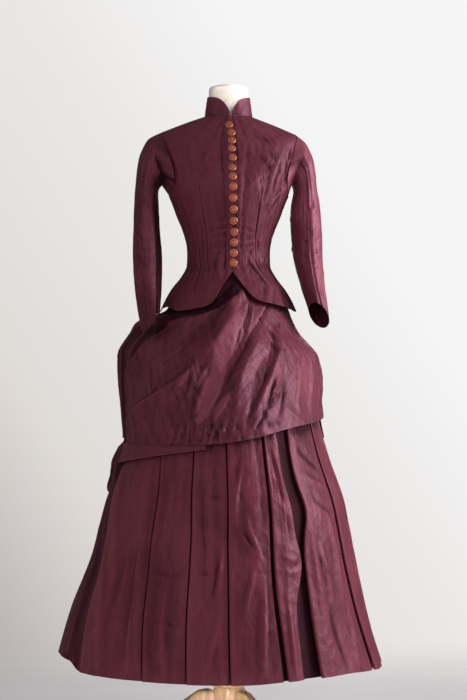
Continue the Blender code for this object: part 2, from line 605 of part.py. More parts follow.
UPPER_PUFF = np.array([
    # height  out     share of the gathers
    (1.2000, -0.0040, 0.0),
    (1.1820, -0.0040, 0.0),
    (1.1630, -0.0040, 0.0),
    (1.1430, -0.0040, 0.0),
    (1.1270, -0.0040, 0.1),
    (1.1120, -0.0040, 0.5),
    (1.0850, -0.0040, 1.0),
    (1.0350, -0.0040, 1.0),
    (0.9770, -0.0040, 1.0),
    (0.9200, -0.0040, 1.0),
    (0.8650, -0.0040, 0.8),
    (0.8250, -0.0040, 0.4)])
LOWER_PUFF = np.array([
    # height  out     share of the gathers
    (0.8500, -0.0085, 0.0),
    (0.8200, -0.0080, 0.0),
    (0.8000, 0.0050, 0.3),
    (0.7650, 0.0080, 1.0),
    (0.7280, 0.0050, 1.0),
    (0.7020, 0.0030, 0.6),
    (0.6900, -0.0020, 0.3)])


def puff(start, ends, rows, folds, cols):
    """Grid of a puff from one angle back round to the angles given for its rows."""
    grid = []
    for (height, out, share), end in zip(rows, ends):
        angle = np.linspace(start, end, cols)
        tuck = 0.0050 * np.clip((angle - 312.0) / 14.0, 0, 1)
        grid.append(outline(HIP, angle, height, out - tuck + share * ridges(folds, angle, height)))
    return np.array(grid)


upper_ends = 368.0 + np.interp(UPPER_PUFF[:, 0], APRON_SIDE[::-1, 0], APRON_SIDE[::-1, 1])
wall("bustle_puff_upper", puff(84.0, upper_ends, UPPER_PUFF, PUFF_FOLDS, 28), puff_cloth)
wall("bustle_puff_lower", puff(98.0, [272.0] * len(LOWER_PUFF), LOWER_PUFF, LOW_FOLDS, 24), puff_cloth)

# Apron drape, swept down to the wearer's right with its grain along the folds, and the straight band
# under its lower edge.
apron_cloth = material("apron_taffeta", TAFFETA, 0.45, sheen=0.4)
rows = []
for share in np.linspace(0.0, 1.0, 18):
    nominal = WAIST - 0.462 * share
    low, high = along(APRON_SIDE, nominal, 1), along(APRON_SIDE, nominal, 2)
    u = np.linspace(0.0, 1.0, 26)
    bias = 0.7 * np.cos(np.pi * np.clip((share - 0.3) / 0.6, 0, 1))
    angle = np.concatenate([low + (60.0 - low) * u * (1 + bias * (1 - u)), np.linspace(60.0, high, 7)[1:]])
    height = WAIST + (along(APRON_HEM, angle, 1) - WAIST) * share
    rise = ridges(APRON_FOLDS, angle, height) * np.clip((1.175 - height) / 0.05, 0, 1)
    rows.append(outline(HIP, angle, height, rise))
wall("apron", np.array(rows), apron_cloth)

rows = []
for share in np.linspace(0.0, 1.0, 3):
    angle = np.linspace(-82.0, -18.0, 12)
    taper = (angle + 82.0) / 64.0
    height = 0.8130 - (0.0510 * (1 - taper) + 0.0130 * taper) * share
    rows.append(outline(HIP, angle, height, -0.0026 + 0.0020 * share))
wall("apron_band", np.array(rows), apron_cloth)

# Padded form: a closed torso that ends at the hips, with a neck block and no arms.
form_cover = material("form_cover", (0.82, 0.72, 0.62), 0.8)
sides = 24
angle = np.arange(sides) * 360.0 / sides
rings = []
for level, radius in ((FORM_TOP, 0.040), (FORM_TOP - 0.003, 0.0465), (FORM_TOP - 0.010, 0.0490), (1.625, 0.0490)):
    a = np.radians(angle)
    rings.append(np.stack([radius * np.sin(a), 0.002 - radius * 0.93 * np.cos(a), np.full(sides, level)], -1))
for height in (1.612, 1.600, 1.583, 1.570, 1.540, 1.500, 1.460, 1.415, 1.372):
    rings.append(body(angle, np.full(sides, height), -0.0075))
for height in (1.325, 1.285, 1.250, 1.200, 1.130, 1.050, 0.965):
    a = np.radians(angle)
    half, front, back = (along(TORSO, height, k) for k in (1, 2, 3))
    depth = np.where(np.cos(a) > 0, front, back)
    rings.append(np.stack([half * np.sin(a), -depth * np.cos(a), np.full(sides, height)], -1))
rings.append((rings[-1] - (0, 0, 0.955)) * (0.93, 0.93, 0.0) + (0, 0, 0.955))
rings = np.array(rings)
points = rings.reshape(-1, 3)
faces = []
for i in range(len(rings) - 1):
    for j in range(sides):
        k = (j + 1) % sides
        faces.append((i * sides + j, (i + 1) * sides + j, (i + 1) * sides + k, i * sides + k))
faces.append(tuple(range(sides)))
faces.append(tuple((len(rings) - 1) * sides + j for j in range(sides - 1, -1, -1)))
add("form_body", points, faces, form_cover, 40.0)

# Pole, turned hub and three flat curved legs.
pole_metal = material("pole_steel", (0.62, 0.62, 0.62), 0.3, metallic=1.0)
stand_wood = material("stand_wood", (0.60, 0.38, 0.19), 0.45)
lathe("form_pole", [(POLE_RADIUS, 0.9547), (POLE_RADIUS, 0.2523)], pole_metal, 16)
lathe("form_hub", [(0.020, 0.2520), (0.040, 0.2500), (0.044, 0.2450), (0.044, 0.2230), (0.0425, 0.2180),
                   (0.036, 0.2140), (0.036, 0.1500), (0.033, 0.1400), (0.020, 0.1340)], stand_wood, 24)

LEG = np.array([
    # reach   top     bottom
    (0.0362, 0.2060, 0.1500),
    (0.0500, 0.2120, 0.1460),
    (0.0750, 0.2080, 0.1400),
    (0.1100, 0.1850, 0.1200),
    (0.1500, 0.1430, 0.0860),
    (0.1900, 0.0950, 0.0480),
    (0.2200, 0.0620, 0.0200),
    (0.2450, 0.0420, 0.0040),
    (0.2620, 0.0330, 0.0000),
    (0.2780, 0.0240, 0.0000),
    (0.2850, 0.0100, 0.0000)])
for number, bearing in enumerate((183.0, 303.0, 63.0), 1):
    t = np.radians(bearing)
    ahead, beside = np.array([np.cos(t), np.sin(t), 0.0]), np.array([-np.sin(t), np.cos(t), 0.0])
    points, faces = [], []
    for reach, top, bottom in LEG:
        reach = reach * LEG_REACH / 0.285
        for offset, level in ((0.011, top - 0.003), (0.011, bottom), (-0.011, bottom), (-0.011, top - 0.003),
                              (-0.007, top), (0.007, top)):
            points.append(ahead * reach + beside * offset + (0.0, 0.0, level))
    for i in range(len(LEG) - 1):
        for j in range(6):
            k = (j + 1) % 6
            faces.append((i * 6 + j, (i + 1) * 6 + j, (i + 1) * 6 + k, i * 6 + k))
    faces.append((0, 1, 2, 3, 4, 5))
    faces.append(tuple((len(LEG) - 1) * 6 + j for j in range(5, -1, -1)))
    add(f"form_leg_{number}", points, faces, stand_wood, 30.0)
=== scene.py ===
"""A two-piece bustle dress of plum silk taffeta on a padded form: its finish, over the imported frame."""

import bpy
import numpy as np
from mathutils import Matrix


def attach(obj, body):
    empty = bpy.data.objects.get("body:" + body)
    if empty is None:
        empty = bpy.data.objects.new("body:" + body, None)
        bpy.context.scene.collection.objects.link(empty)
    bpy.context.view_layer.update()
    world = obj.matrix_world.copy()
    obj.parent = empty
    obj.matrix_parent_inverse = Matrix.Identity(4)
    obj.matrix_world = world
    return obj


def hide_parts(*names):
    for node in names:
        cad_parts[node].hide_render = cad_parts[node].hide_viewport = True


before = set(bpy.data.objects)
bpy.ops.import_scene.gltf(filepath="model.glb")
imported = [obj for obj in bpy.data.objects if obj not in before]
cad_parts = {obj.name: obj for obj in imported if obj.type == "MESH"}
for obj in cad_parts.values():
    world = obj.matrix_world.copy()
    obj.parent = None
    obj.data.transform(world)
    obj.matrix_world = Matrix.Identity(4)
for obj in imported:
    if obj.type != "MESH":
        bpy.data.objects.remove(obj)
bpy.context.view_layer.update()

# ---- Tripod, hub and pole -------------------------------------------------------------------------
# Three flat legs are glued into a turned hub of honey-coloured beech, and a steel pole stands in it.
# The wood is sealed with a thin satin varnish, and the pole is drawn tube with fine lengthwise lines.


class Socket:
    """An output of a material's nodes. Values are added, taken away and scaled with ordinary signs."""

    def __init__(self, tree, output=None):
        self.tree, self.output = tree, output

    def node(self, kind, settings, inputs, output=0):
        """A new node with its settings made first, then its sockets' values or links."""
        made = self.tree.nodes.new("ShaderNode" + kind)
        for key, value in settings.items():
            if key == "stops":
                while len(made.color_ramp.elements) < len(value):
                    made.color_ramp.elements.new(0.5)
                for stop, (place, tone) in zip(made.color_ramp.elements, value):
                    stop.position, stop.color = place, (*tone, 1.0)
            else:
                setattr(made, key, value)
        for key, value in inputs.items():
            if isinstance(value, Socket):
                self.tree.links.new(value.output, made.inputs[key])
            else:
                made.inputs[key].default_value = value
        return Socket(self.tree, made.outputs[output])

    def maths(self, operation, *values):
        return self.node("Math", {"operation": operation}, dict(enumerate(values)))

    def __add__(self, other):
        return self.maths("ADD", self, other)

    def __sub__(self, other):
        return self.maths("SUBTRACT", self, other)

    def __rsub__(self, other):
        return self.maths("SUBTRACT", other, self)

    def __mul__(self, other):
        return self.maths("MULTIPLY", self, other)

    def __abs__(self):
        return self.maths("ABSOLUTE", self)

    __radd__, __rmul__ = __add__, __mul__

    def place(self):
        """Where a point lies in its own piece, in metres."""
        return self.node("TexCoord", {}, {}, 3)

    def stretched(self, scale, turn=(0.0, 0.0, 0.0)):
        """The same place after turning and scaling, for grain that runs one way."""
        return self.node("Mapping", {}, {"Vector": self, "Scale": scale, "Rotation": turn})

    def noise(self, scale, detail=3.0, rough=0.55, bend=0.0):
        return self.node("TexNoise", {}, {"Vector": self, "Scale": scale, "Detail": detail,
                                          "Roughness": rough, "Distortion": bend})

    def cells(self, scale):
        """Distance from the middles of uneven cells, for the flat facets of crushed cloth."""
        return self.node("TexVoronoi", {}, {"Vector": self, "Scale": scale})

    def between(self, low, high, start=0.0, end=1.0):
        """This value carried from low..high to start..end, held at both ends."""
        return self.node("MapRange", {"interpolation_type": "SMOOTHSTEP"},
                         {"Value": self, "From Min": low, "From Max": high, "To Min": start, "To Max": end})

    def colours(self, first, second):
        """Mixes two colours by this value."""
        pair = [c if isinstance(c, Socket) else (*c, 1.0) for c in (first, second)]
        return self.node("Mix", {"data_type": "RGBA"}, {0: self, 6: pair[0], 7: pair[1]}, 2)


def finish(name, **constants):
    """A new material, the place to build its nodes from, and its shader."""
    material = bpy.data.materials.new(name)
    material.use_nodes = True
    shader = material.node_tree.nodes["Principled BSDF"]
    for key, value in constants.items():
        shader.inputs[key.replace("_", " ")].default_value = value
    return material, Socket(material.node_tree), shader


def dress(shader, start, colour, roughness=None, height=None, depth=0.001):
    """Feeds a shader its colour, roughness and relief; depth is the relief's height in metres."""
    relief = None
    if height is not None:
        relief = start.node("Bump", {}, {"Strength": 1.0, "Distance": depth, "Height": height})
    for key, value in (("Base Color", colour), ("Roughness", roughness), ("Normal", relief)):
        if value is not None:
            start.tree.links.new(value.output, shader.inputs[key])


wood, start, shader = finish("honey_beech", Specular_IOR_Level=0.5, Coat_Weight=0.25, Coat_Roughness=0.25)
place = start.place()
grain = place.stretched((26.0, 26.0, 3.0)).noise(2.2, 5.0, 0.6, 1.2)
flecks = place.stretched((420.0, 420.0, 30.0)).noise(1.0, 2.0)
tone = grain.between(0.3, 0.7).colours((0.62, 0.34, 0.15), (0.84, 0.56, 0.30))
dress(shader, start, flecks.between(0.62, 0.8, 0.0, 0.5).colours(tone, (0.36, 0.18, 0.07)),
      grain.between(0.2, 0.8, 0.42, 0.30), grain * 0.5 + flecks * 0.5, 0.0003)

steel, start, shader = finish("drawn_steel", Metallic=1.0, Specular_IOR_Level=0.5)
place = start.place()
lines = place.stretched((900.0, 900.0, 6.0)).noise(1.0, 2.0)
dress(shader, start, lines.between(0.2, 0.8).colours((0.46, 0.46, 0.47), (0.66, 0.66, 0.66)),
      lines.between(0.2, 0.8, 0.24, 0.40), lines, 0.00005)

for node, cover in (("form_leg_1", wood), ("form_leg_2", wood), ("form_leg_3", wood), ("form_hub", wood),
                    ("form_pole", steel)):
    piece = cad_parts[node]
    for slot in piece.material_slots:
        slot.material = cover
    if node.startswith("form_leg"):
        weld = piece.modifiers.new("weld", "WELD")
        weld.merge_threshold = 0.00005
        rounding = piece.modifiers.new("rounding", "BEVEL")
        rounding.width, rounding.segments, rounding.limit_method = 0.0022, 3, "ANGLE"
        rounding.angle_limit = np.radians(25.0)

# ---- Padded form ----------------------------------------------------------------------------------
# A papier-mache body to the hips, wadded and covered in tight cream cotton, with a round neck block.
# Only the neck shows when it is dressed; the cover is stretched over it and tacked under the rim.

AXIS_Y = -0.052        # the pole stands in front of the middle of the whole outline
FORM_TOP = 1.702


def measured(rows, *plain):
    """Rows of sizes in millimetres as metres; the plain columns hold angles, shares or factors instead."""
    rows = np.array(rows, float)
    units = np.full(rows.shape[1], 1000.0)
    units[list(plain)] = 1.0
    return rows / units


# Sections of the bodice: height at the side, half width, depth to front and back, and how far the ring
# drops at the centre front and the centre back.
BODY = measured([
    # height, half, front, back, drop_f, drop_b
    (1625, 60, 50, 56, 4, -4),
    (1611, 100, 66, 76, 16, 8),
    (1596, 138, 80, 90, 30, 22),
    (1580, 172, 92, 98, 42, 32),
    (1560, 179, 100, 102, 44, 36),
    (1530, 176, 110, 105, 36, 30),
    (1495, 168, 120, 106, 24, 20),
    (1465, 160, 126, 105, 12, 10),
    (1435, 153, 128, 102, 4, 3),
    (1402, 139, 124, 98, 0, 0),
    (1372, 128, 116, 93, 0, 0),
    (1342, 115.5, 106, 87, 0, 0),
    (1313, 106.5, 96, 81, 0, 0),
    (1283, 103, 89, 78, 0, 0),
    (1254, 103.5, 88.5, 80, 0, 0),
    (1224, 118, 95, 98, 0, 0),
    (1195, 140.5, 107, 128, 0, 0),
    (1165, 158, 123, 165, 0, 0),
    (1133, 172, 139, 200, 0, 0),
    (1090, 190, 156, 240, 0, 0)])

# Torso of the form below the bust.
TORSO = measured([
    # height, half, front, back
    (1342, 110, 100, 81),
    (1300, 90, 80, 69),
    (1270, 84, 70, 60),
    (1224, 92, 72, 68),
    (1150, 115, 80, 85),
    (1080, 138, 88, 105),
    (1020, 146, 90, 112),
    (960, 140, 84, 106)])


def smooth(share, gap, ends, slopes):
    """A smooth curve's value at a share of the gap between two points, from the ends' values and slopes."""
    start = (1 + 2 * share) * (1 - share) ** 2 * ends[0] + share * (1 - share) ** 2 * gap * slopes[0]
    return start + (share**2 * (3 - 2 * share) * ends[1] + share**2 * (share - 1) * gap * slopes[1])


def along(table, t, column):
    """Smooth value of a column where the first column is t."""
    keys, values = table[:, 0], table[:, column]
    if keys[0] > keys[-1]:
        keys, values = keys[::-1], values[::-1]
    t = np.clip(t, keys[0], keys[-1])
    steps = np.diff(values) / np.diff(keys)
    inner = (steps[:-1] + steps[1:]) / 2
    limit = 3 * np.minimum(abs(steps[:-1]), abs(steps[1:]))
    inner = np.where(steps[:-1] * steps[1:] > 0, np.clip(inner, -limit, limit), 0.0)
    slopes = np.concatenate([steps[:1], inner, steps[-1:]])
    i = np.clip(np.searchsorted(keys, t) - 1, 0, len(keys) - 2)
    gap = keys[i + 1] - keys[i]
    return smooth((t - keys[i]) / gap, gap, (values[i], values[i + 1]), (slopes[i], slopes[i + 1]))


def body(angle, height, out=0.0):
    """Point of the bodice's outer face: degrees from the centre front, positive to the wearer's left."""
    a = np.radians(angle)
    half = along(BODY, height, 1)
    front, back = along(BODY, height, 2), along(BODY, height, 3)
    drop_f, drop_b = along(BODY, height, 4), along(BODY, height, 5)
    c = np.cos(a)
    x = (half + out) * np.sin(a)
    y = -np.where(c > 0, front + out, back + out) * c
    z = height - np.where(c > 0, drop_f, drop_b) * c**2
    return np.stack([x, y + AXIS_Y, z + np.zeros_like(x)], -1)


def quads(rows, cols, down=False, around=True):
    """Faces of a grid of points, numbered along its rows and closed down or around it where asked."""
    i, j = np.meshgrid(np.arange(rows - 1 + down), np.arange(cols - 1 + around), indexing="ij")
    below, beside = (i + 1) % rows, (j + 1) % cols
    corners = [i * cols + j, below * cols + j, below * cols + beside, i * cols + beside]
    return np.stack(corners, -1).reshape(-1, 4)


def placed(name, data):
    """A new object of the scene that holds a mesh, a lamp or a camera."""
    made = bpy.data.objects.new(name, data)
    bpy.context.collection.objects.link(made)
    return made


def closed_form(name, rings, material):
    """A closed body from rings of points, top to bottom, filled at both ends."""
    count, sides = rings.shape[:2]
    bottom = [(count - 1) * sides + j for j in range(sides - 1, -1, -1)]
    mesh = bpy.data.meshes.new(name)
    faces = [*quads(count, sides).tolist(), list(range(sides)), bottom]
    mesh.from_pydata(rings.reshape(-1, 3).tolist(), [], faces)
    mesh.materials.append(material)
    mesh.shade_smooth()
    return placed(name, mesh)


cover, start, shader = finish("cream_cotton", Specular_IOR_Level=0.25, Sheen_Weight=0.15, Sheen_Roughness=0.5)
place = start.place()
patches = place.noise(14.0, 4.0)
threads = place.stretched((900.0, 900.0, 300.0)).noise(1.0, 1.0)
threads = threads + place.stretched((300.0, 300.0, 1100.0)).noise(1.0, 1.0)
dress(shader, start, patches.between(0.3, 0.75).colours((0.93, 0.82, 0.72), (0.97, 0.90, 0.84)),
      patches.between(0.3, 0.7, 0.62, 0.78), threads, 0.00012)

# Neck block and cap.
NECK = measured([
    # how far below the top, radius
    (0, 36), (0.4, 42), (1.8, 45.5), (4.2, 47.5), (7.5, 48.6), (11, 49), (25, 49), (26.4, 48.7), (27.8, 49),
    (50, 49), (77, 49)])
NECK_DEPTH, NECK_BACK = 0.93, 0.002      # of its width, and how far it stands behind the pole
COVER_INSIDE = 0.0078         # from the bodice's outer face to the form's cover
RIM, RIM_SHARE = 0.955, 0.93  # height of the lower rim, and its width for the torso's
turn = np.radians(np.arange(96) * 360.0 / 96)
rings = []
for level, radius in NECK:
    rings.append(np.stack([radius * np.sin(turn), AXIS_Y + NECK_BACK - radius * NECK_DEPTH * np.cos(turn),
                           np.full_like(turn, FORM_TOP - level)], -1))
for height in np.linspace(1.612, 1.372, 26):
    rings.append(body(np.degrees(turn), np.full_like(turn, height), -COVER_INSIDE))
for height in np.linspace(1.340, 0.965, 26):
    half, front, back = (along(TORSO, height, k) for k in (1, 2, 3))
    deep = np.where(np.cos(turn) > 0, front, back)
    level = np.full_like(turn, height)
    rings.append(np.stack([half * np.sin(turn), AXIS_Y - deep * np.cos(turn), level], -1))
rings.append((rings[-1] - (0, AXIS_Y, RIM)) * (RIM_SHARE, RIM_SHARE, 0.0) + (0, AXIS_Y, RIM))
form = closed_form("form_cover_and_neck", np.array(rings), cover)
form.data.set_sharp_from_angle(angle=np.radians(50.0))
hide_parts("form_body")
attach(form, "root")

# ---- Pleated underskirt ---------------------------------------------------------------------------
# The full-length skirt is straight widths of silk taffeta in seventeen wide knife pleats, all lying to
# the wearer's right, mounted on a waistband and pressed but not sewn down, so the faces bow and ripple.

HEM = 0.272
WAIST = 1.262

# Outline of the underskirt: height, half width on the wearer's right and left, depth to front and back,
# and how far behind the pole the outline is widest.
SKIRT = measured([
    # height, right, left, front, back, widest
    (1262, 94.5, 94.5, 80.5, 71.5, 0),
    (1235, 97, 97, 79.5, 77, 0),
    (1165, 132, 130, 99, 132, 22),
    (1035, 219, 214, 169, 289, 140),
    (880, 238, 238, 256, 318, 145),
    (775, 260, 264, 292, 320, 120),
    (670, 298, 299, 316, 340, 105),
    (620, 311, 309, 324, 355, 105),
    (517, 338, 329, 342, 385, 125),
    (400, 382, 361, 356, 425, 160),
    (250, 423, 415, 366, 470, 190)])

# Pleats from the centre back round by the wearer's right: angle of the lying edge at the hem and at the
# hip, share of the face that lies flat at the hem and at the hip, depth under the next edge at the hem.
PLEATS = measured([
    # hem, hip, flat_hem, flat_hip, under
    (-178, -178, 0.93, 0.93, 40),
    (-157, -158, 0.92, 0.94, 40),
    (-136, -139, 0.88, 0.92, 45),
    (-115, -120, 0.92, 0.94, 40),
    (-90, -101, 0.84, 0.9, 40),
    (-61.9, -78, 0.94, 0.95, 45),
    (-33, -45, 0.94, 0.95, 40),
    (-18.2, -24.7, 0.94, 0.95, 35),
    (-4.3, -7.3, 0.8, 0.84, 40),
    (14.8, 13.1, 0.7, 0.52, 35),
    (27.4, 28.1, 0.84, 0.8, 45),
    (60, 52, 0.8, 0.8, 45),
    (80, 74, 0.84, 0.84, 40),
    (100, 96, 0.92, 0.94, 40),
    (120, 118, 0.9, 0.92, 40),
    (140, 139, 0.92, 0.94, 40),
    (161, 160, 0.88, 0.92, 40)], 0, 1, 2, 3)

# Where a lying edge strays from its straight line: number of the pleat, height, degrees and spread.
EDGE_SWAYS = measured([
    # pleat, height, degrees, spread
    (2, 600, 2.2, 90),
    (4, 520, -2.4, 80),
    (5, 720, -3.2, 90),
    (6, 690, 2.6, 80),
    (7, 620, 0.8, 90),
    (8, 680, 0.5, 70),
    (9, 500, -1, 120),
    (10, 655, 3.2, 55),
    (12, 560, -2, 100),
    (14, 620, 1.8, 90),
    (16, 500, -1.6, 80)], 0, 2)

# Creases and soft ridges of the faces: three points by angle and height, how far each side slopes away,
# and the rise, negative for a trough.
SKIRT_CREASES = measured([
    # a0, z0, a1, z1, a2, z2, left, right, rise
    (-74, 576, -60, 440, -52.7, 277, 40, 14, 5),
    (-74, 723, -63, 583, -57, 445, 50, 18, 4),
    (-43.5, 520, -40.5, 419, -38.3, 300, 16, 30, 6),
    (-49, 560, -44.5, 440, -43, 300, 26, 14, -4),
    (-29.5, 520, -28.4, 400, -26.2, 290, 30, 10, 4),
    (-33, 404, -29.1, 406, -24.9, 403, 8, 12, -1.2),
    (-32, 398, -29.1, 400, -26.9, 397, 7, 7, 1.2),
    (-31.3, 304, -28.7, 303, -25.3, 308, 8, 11, -1),
    (-30.3, 292, -28, 294, -26.3, 291, 8, 7, -0.6),
    (-37.3, 520, -30.9, 513, -24.4, 511, 8, 15, -1.3),
    (-36, 512, -31.9, 506, -28.4, 506, 7, 7, 1),
    (-20.1, 731, -16.3, 595, -14.6, 372, 22, 18, -3),
    (-8.4, 575, -9, 524, -9.6, 474, 8, 7, 2.8),
    (-10.2, 560, -11, 500, -12.4, 440, 10, 8, -2),
    (-9, 410, -10.7, 363, -12, 314, 7, 10, 2.6),
    (-18.4, 523, -14.6, 519, -10.7, 524, 8, 12, -1),
    (-17.4, 700, -13, 690, -8, 694, 8, 18, -1.2),
    (0.2, 770, -1.7, 719, -3, 675, 7, 7, 3),
    (-3.6, 735, -3.4, 690, -3.6, 630, 7, 12, 2.6),
    (3.8, 520, 1.7, 473, 0, 425, 7, 10, 3.2),
    (8.6, 496, 7.7, 395, 6.4, 290, 18, 7, 5),
    (0.9, 522, 4.7, 526, 9, 519, 8, 12, -1.1),
    (0.5, 612, 3, 590, 7.5, 560, 7, 12, -2.2),
    (2, 650, 4, 600, 9, 545, 12, 7, 2.4),
    (17.3, 799, 19.1, 729, 19.7, 639, 8, 10, 3.4),
    (18.6, 700, 20.6, 640, 21.2, 580, 7, 10, -2.4),
    (17, 530, 22.1, 533, 26.9, 547, 8, 11, -1.9),
    (17.9, 517, 22.1, 520, 26.6, 521, 7, 7, 2.2),
    (16.5, 560, 20.1, 550, 25.6, 546, 7, 7, 1.8),
    (17.3, 470, 17.4, 368, 17.2, 288, 8, 12, 3.4),
    (36.7, 580, 38.6, 519, 39.8, 443, 12, 7, 4.6),
    (48.9, 430, 48.4, 367, 46.6, 297, 10, 16, 5),
    (33.1, 800, 40.9, 769, 53.3, 738, 14, 22, -2.2),
    (33.3, 735, 43.6, 718, 53.3, 704, 16, 10, 2.4),
    (36.3, 684, 43.6, 660, 49.3, 640, 14, 16, -1.8),
    (46.7, 640, 48.4, 537, 48, 443, 20, 12, 5.2),
    (31.6, 620, 32.2, 520, 33.4, 405, 10, 22, 5),
    (38, 430, 38.5, 370, 40, 285, 20, 10, -3.6),
    (66, 640, 68, 500, 70, 300, 20, 16, 5),
    (86, 700, 88, 520, 89, 320, 16, 24, 4.6),
    (108, 660, 107, 500, 110, 300, 24, 14, 4.8),
    (102, 480, 107, 474, 113, 478, 8, 15, -1.2),
    (128, 620, 130, 460, 129, 300, 18, 20, 5),
    (147, 640, 149, 500, 150, 330, 14, 24, 4.4),
    (143, 400, 148, 405, 154, 400, 8, 12, -1.2),
    (169, 620, 168, 450, 170, 300, 20, 16, 4.8),
    (-168, 640, -169, 500, -167, 300, 16, 20, 4.6),
    (-150, 600, -148, 450, -147, 300, 22, 14, 5),
    (-154, 430, -148, 424, -142, 428, 8, 15, -1.1),
    (-128, 640, -126, 480, -126, 310, 16, 22, 4.8),
    (-106, 620, -104, 480, -102, 300, 20, 14, 5),
    (-84, 600, -78, 450, -75, 300, 20, 20, 4.4)], 0, 2, 4)

# Height of the hem round the skirt, by the angle from the centre front.
HEM_LINE = measured([
    # angle, height
    (-180, 274), (-95, 282), (-74, 283), (-64, 266), (-30, 271), (0, 272), (20, 277), (36, 276),
    (56, 265), (80, 257), (110, 262), (180, 274)], 0)


def ramp(value, start, length):
    """Rises from 0 at the start to 1 a length further on, or a length further back where it is negative."""
    return np.clip((value - start) / length, 0, 1)


def hump(value, middle, spread):
    """One at the middle, fading softly on both sides."""
    return np.exp(-(((value - middle) / spread) ** 2))


def outline(table, angle, height, out=0.0):
    """Point of a skirt's outline; out moves it away from the pole."""
    a = np.radians(angle)
    s, c = np.sin(a), np.cos(a)
    right, left = along(table, height, 1) + out, along(table, height, 2) + out
    front, back = along(table, height, 3) + out, along(table, height, 4) + out
    widest = along(table, height, 5)
    x = np.where(s < 0, right, left) * s
    y = widest - np.where(c > 0, widest + front, back - widest) * c
    return np.stack([x, y + AXIS_Y, height + np.zeros_like(x)], -1)


def creases(table, across, height, span, crisp=0.006):
    """How far the cloth stands out, from rows of bent creases; span is metres of cloth for a degree."""
    rise, steps = np.zeros(np.broadcast(across, height).shape), 6
    for a0, z0, a1, z1, a2, z2, left, right, up in table:
        t = np.linspace(0.0, 1.0, steps + 1)[:, None]
        head, middle, foot = (np.array([[a * span, z]]) for a, z in ((a0, z0), (a1, z1), (a2, z2)))
        bend = head * (2 * t - 1) * (t - 1) + middle * 4 * t * (1 - t) + foot * t * (2 * t - 1)
        nearest, way, place = np.full(rise.shape, 9.0), np.zeros(rise.shape), np.zeros(rise.shape)
        for step, (first, last) in enumerate(zip(bend[:-1], bend[1:])):
            dx, dz = last - first
            turn = across * span - first[0]
            turn = (turn + 180 * span) % (360 * span) - 180 * span
            share = np.clip((turn * dx + (height - first[1]) * dz) / (dx**2 + dz**2), 0, 1)
            away = np.hypot(turn - share * dx, height - first[1] - share * dz)
            closer = away < nearest
            nearest = np.where(closer, away, nearest)
            way = np.where(closer, dx * (height - first[1]) - dz * turn, way)
            place = np.where(closer, (step + share) / steps, place)
        far = nearest / np.where(way < 0, left, right)
        slope = 1.0 - np.sqrt(far**2 + crisp)
        slope = (slope + np.sqrt(slope**2 + crisp / 2)) / 2
        rise = rise + up * slope * np.sin(np.pi * (0.06 + 0.88 * place)) ** 0.7
    return rise


def rumple(u, v, seed, layers=3):
    """Uneven rumpling from -1 to 1 with crisp crests; u and v count its lumps across and down."""
    total, gain = 0.0, 1.0
    for layer in range(layers):
        i, j = np.floor(u), np.floor(v)
        x, y = (u - i) ** 2 * (3 - 2 * (u - i)), (v - j) ** 2 * (3 - 2 * (v - j))
        corner = [np.sin((i + a) * 127.1 + (j + b) * 311.7 + (seed + layer) * 74.7) * 43758.5453 % 1.0
                  for a, b in ((0, 0), (1, 0), (0, 1), (1, 1))]
        value = (corner[0] * (1 - x) + corner[1] * x) * (1 - y) + (corner[2] * (1 - x) + corner[3] * x) * y
        total = total + gain * (1.0 - 2.6 * abs(value - 0.5) * 2)
        u, v, gain = u * 1.9 + v * 0.5, v * 1.9 - u * 0.5, gain * 0.5
    return total / 1.75


def normals(grid, closed):
    """Unit normals of a grid of points: rows go down the cloth, columns round it."""
    if closed:
        du = np.roll(grid, -1, 1) - np.roll(grid, 1, 1)
    else:
        du = np.gradient(grid, axis=1)
    n = np.cross(np.gradient(grid, axis=0), du)
    return n / np.maximum(np.linalg.norm(n, axis=2, keepdims=True), 1e-12)


def hollows(grid, closed):
    """How deep each point lies in a fold, from -1 on a crest to 1 in a valley."""
    facing, total = normals(grid, closed), 0.0
    rows, cols = grid.shape[:2]
    for step in (1, 2, 4, 7):
        up, down = np.maximum(np.arange(rows) - step, 0), np.minimum(np.arange(rows) + step, rows - 1)
        left, right = np.arange(cols) - step, np.arange(cols) + step
        if closed:
            left, right = left % cols, right % cols
        else:
            left, right = np.maximum(left, 0), np.minimum(right, cols - 1)
        for first, last in ((grid[up], grid[down]), (grid[:, left], grid[:, right])):
            wide = np.linalg.norm(first - last, axis=2) + 1e-6
            total = total + (((first + last) / 2 - grid) * facing).sum(2) / wide
    return 1.2 * np.tanh(total * 2.2)


INSIDE_SHADE = 1.5            # how much deeper in shade the inside of any cloth lies


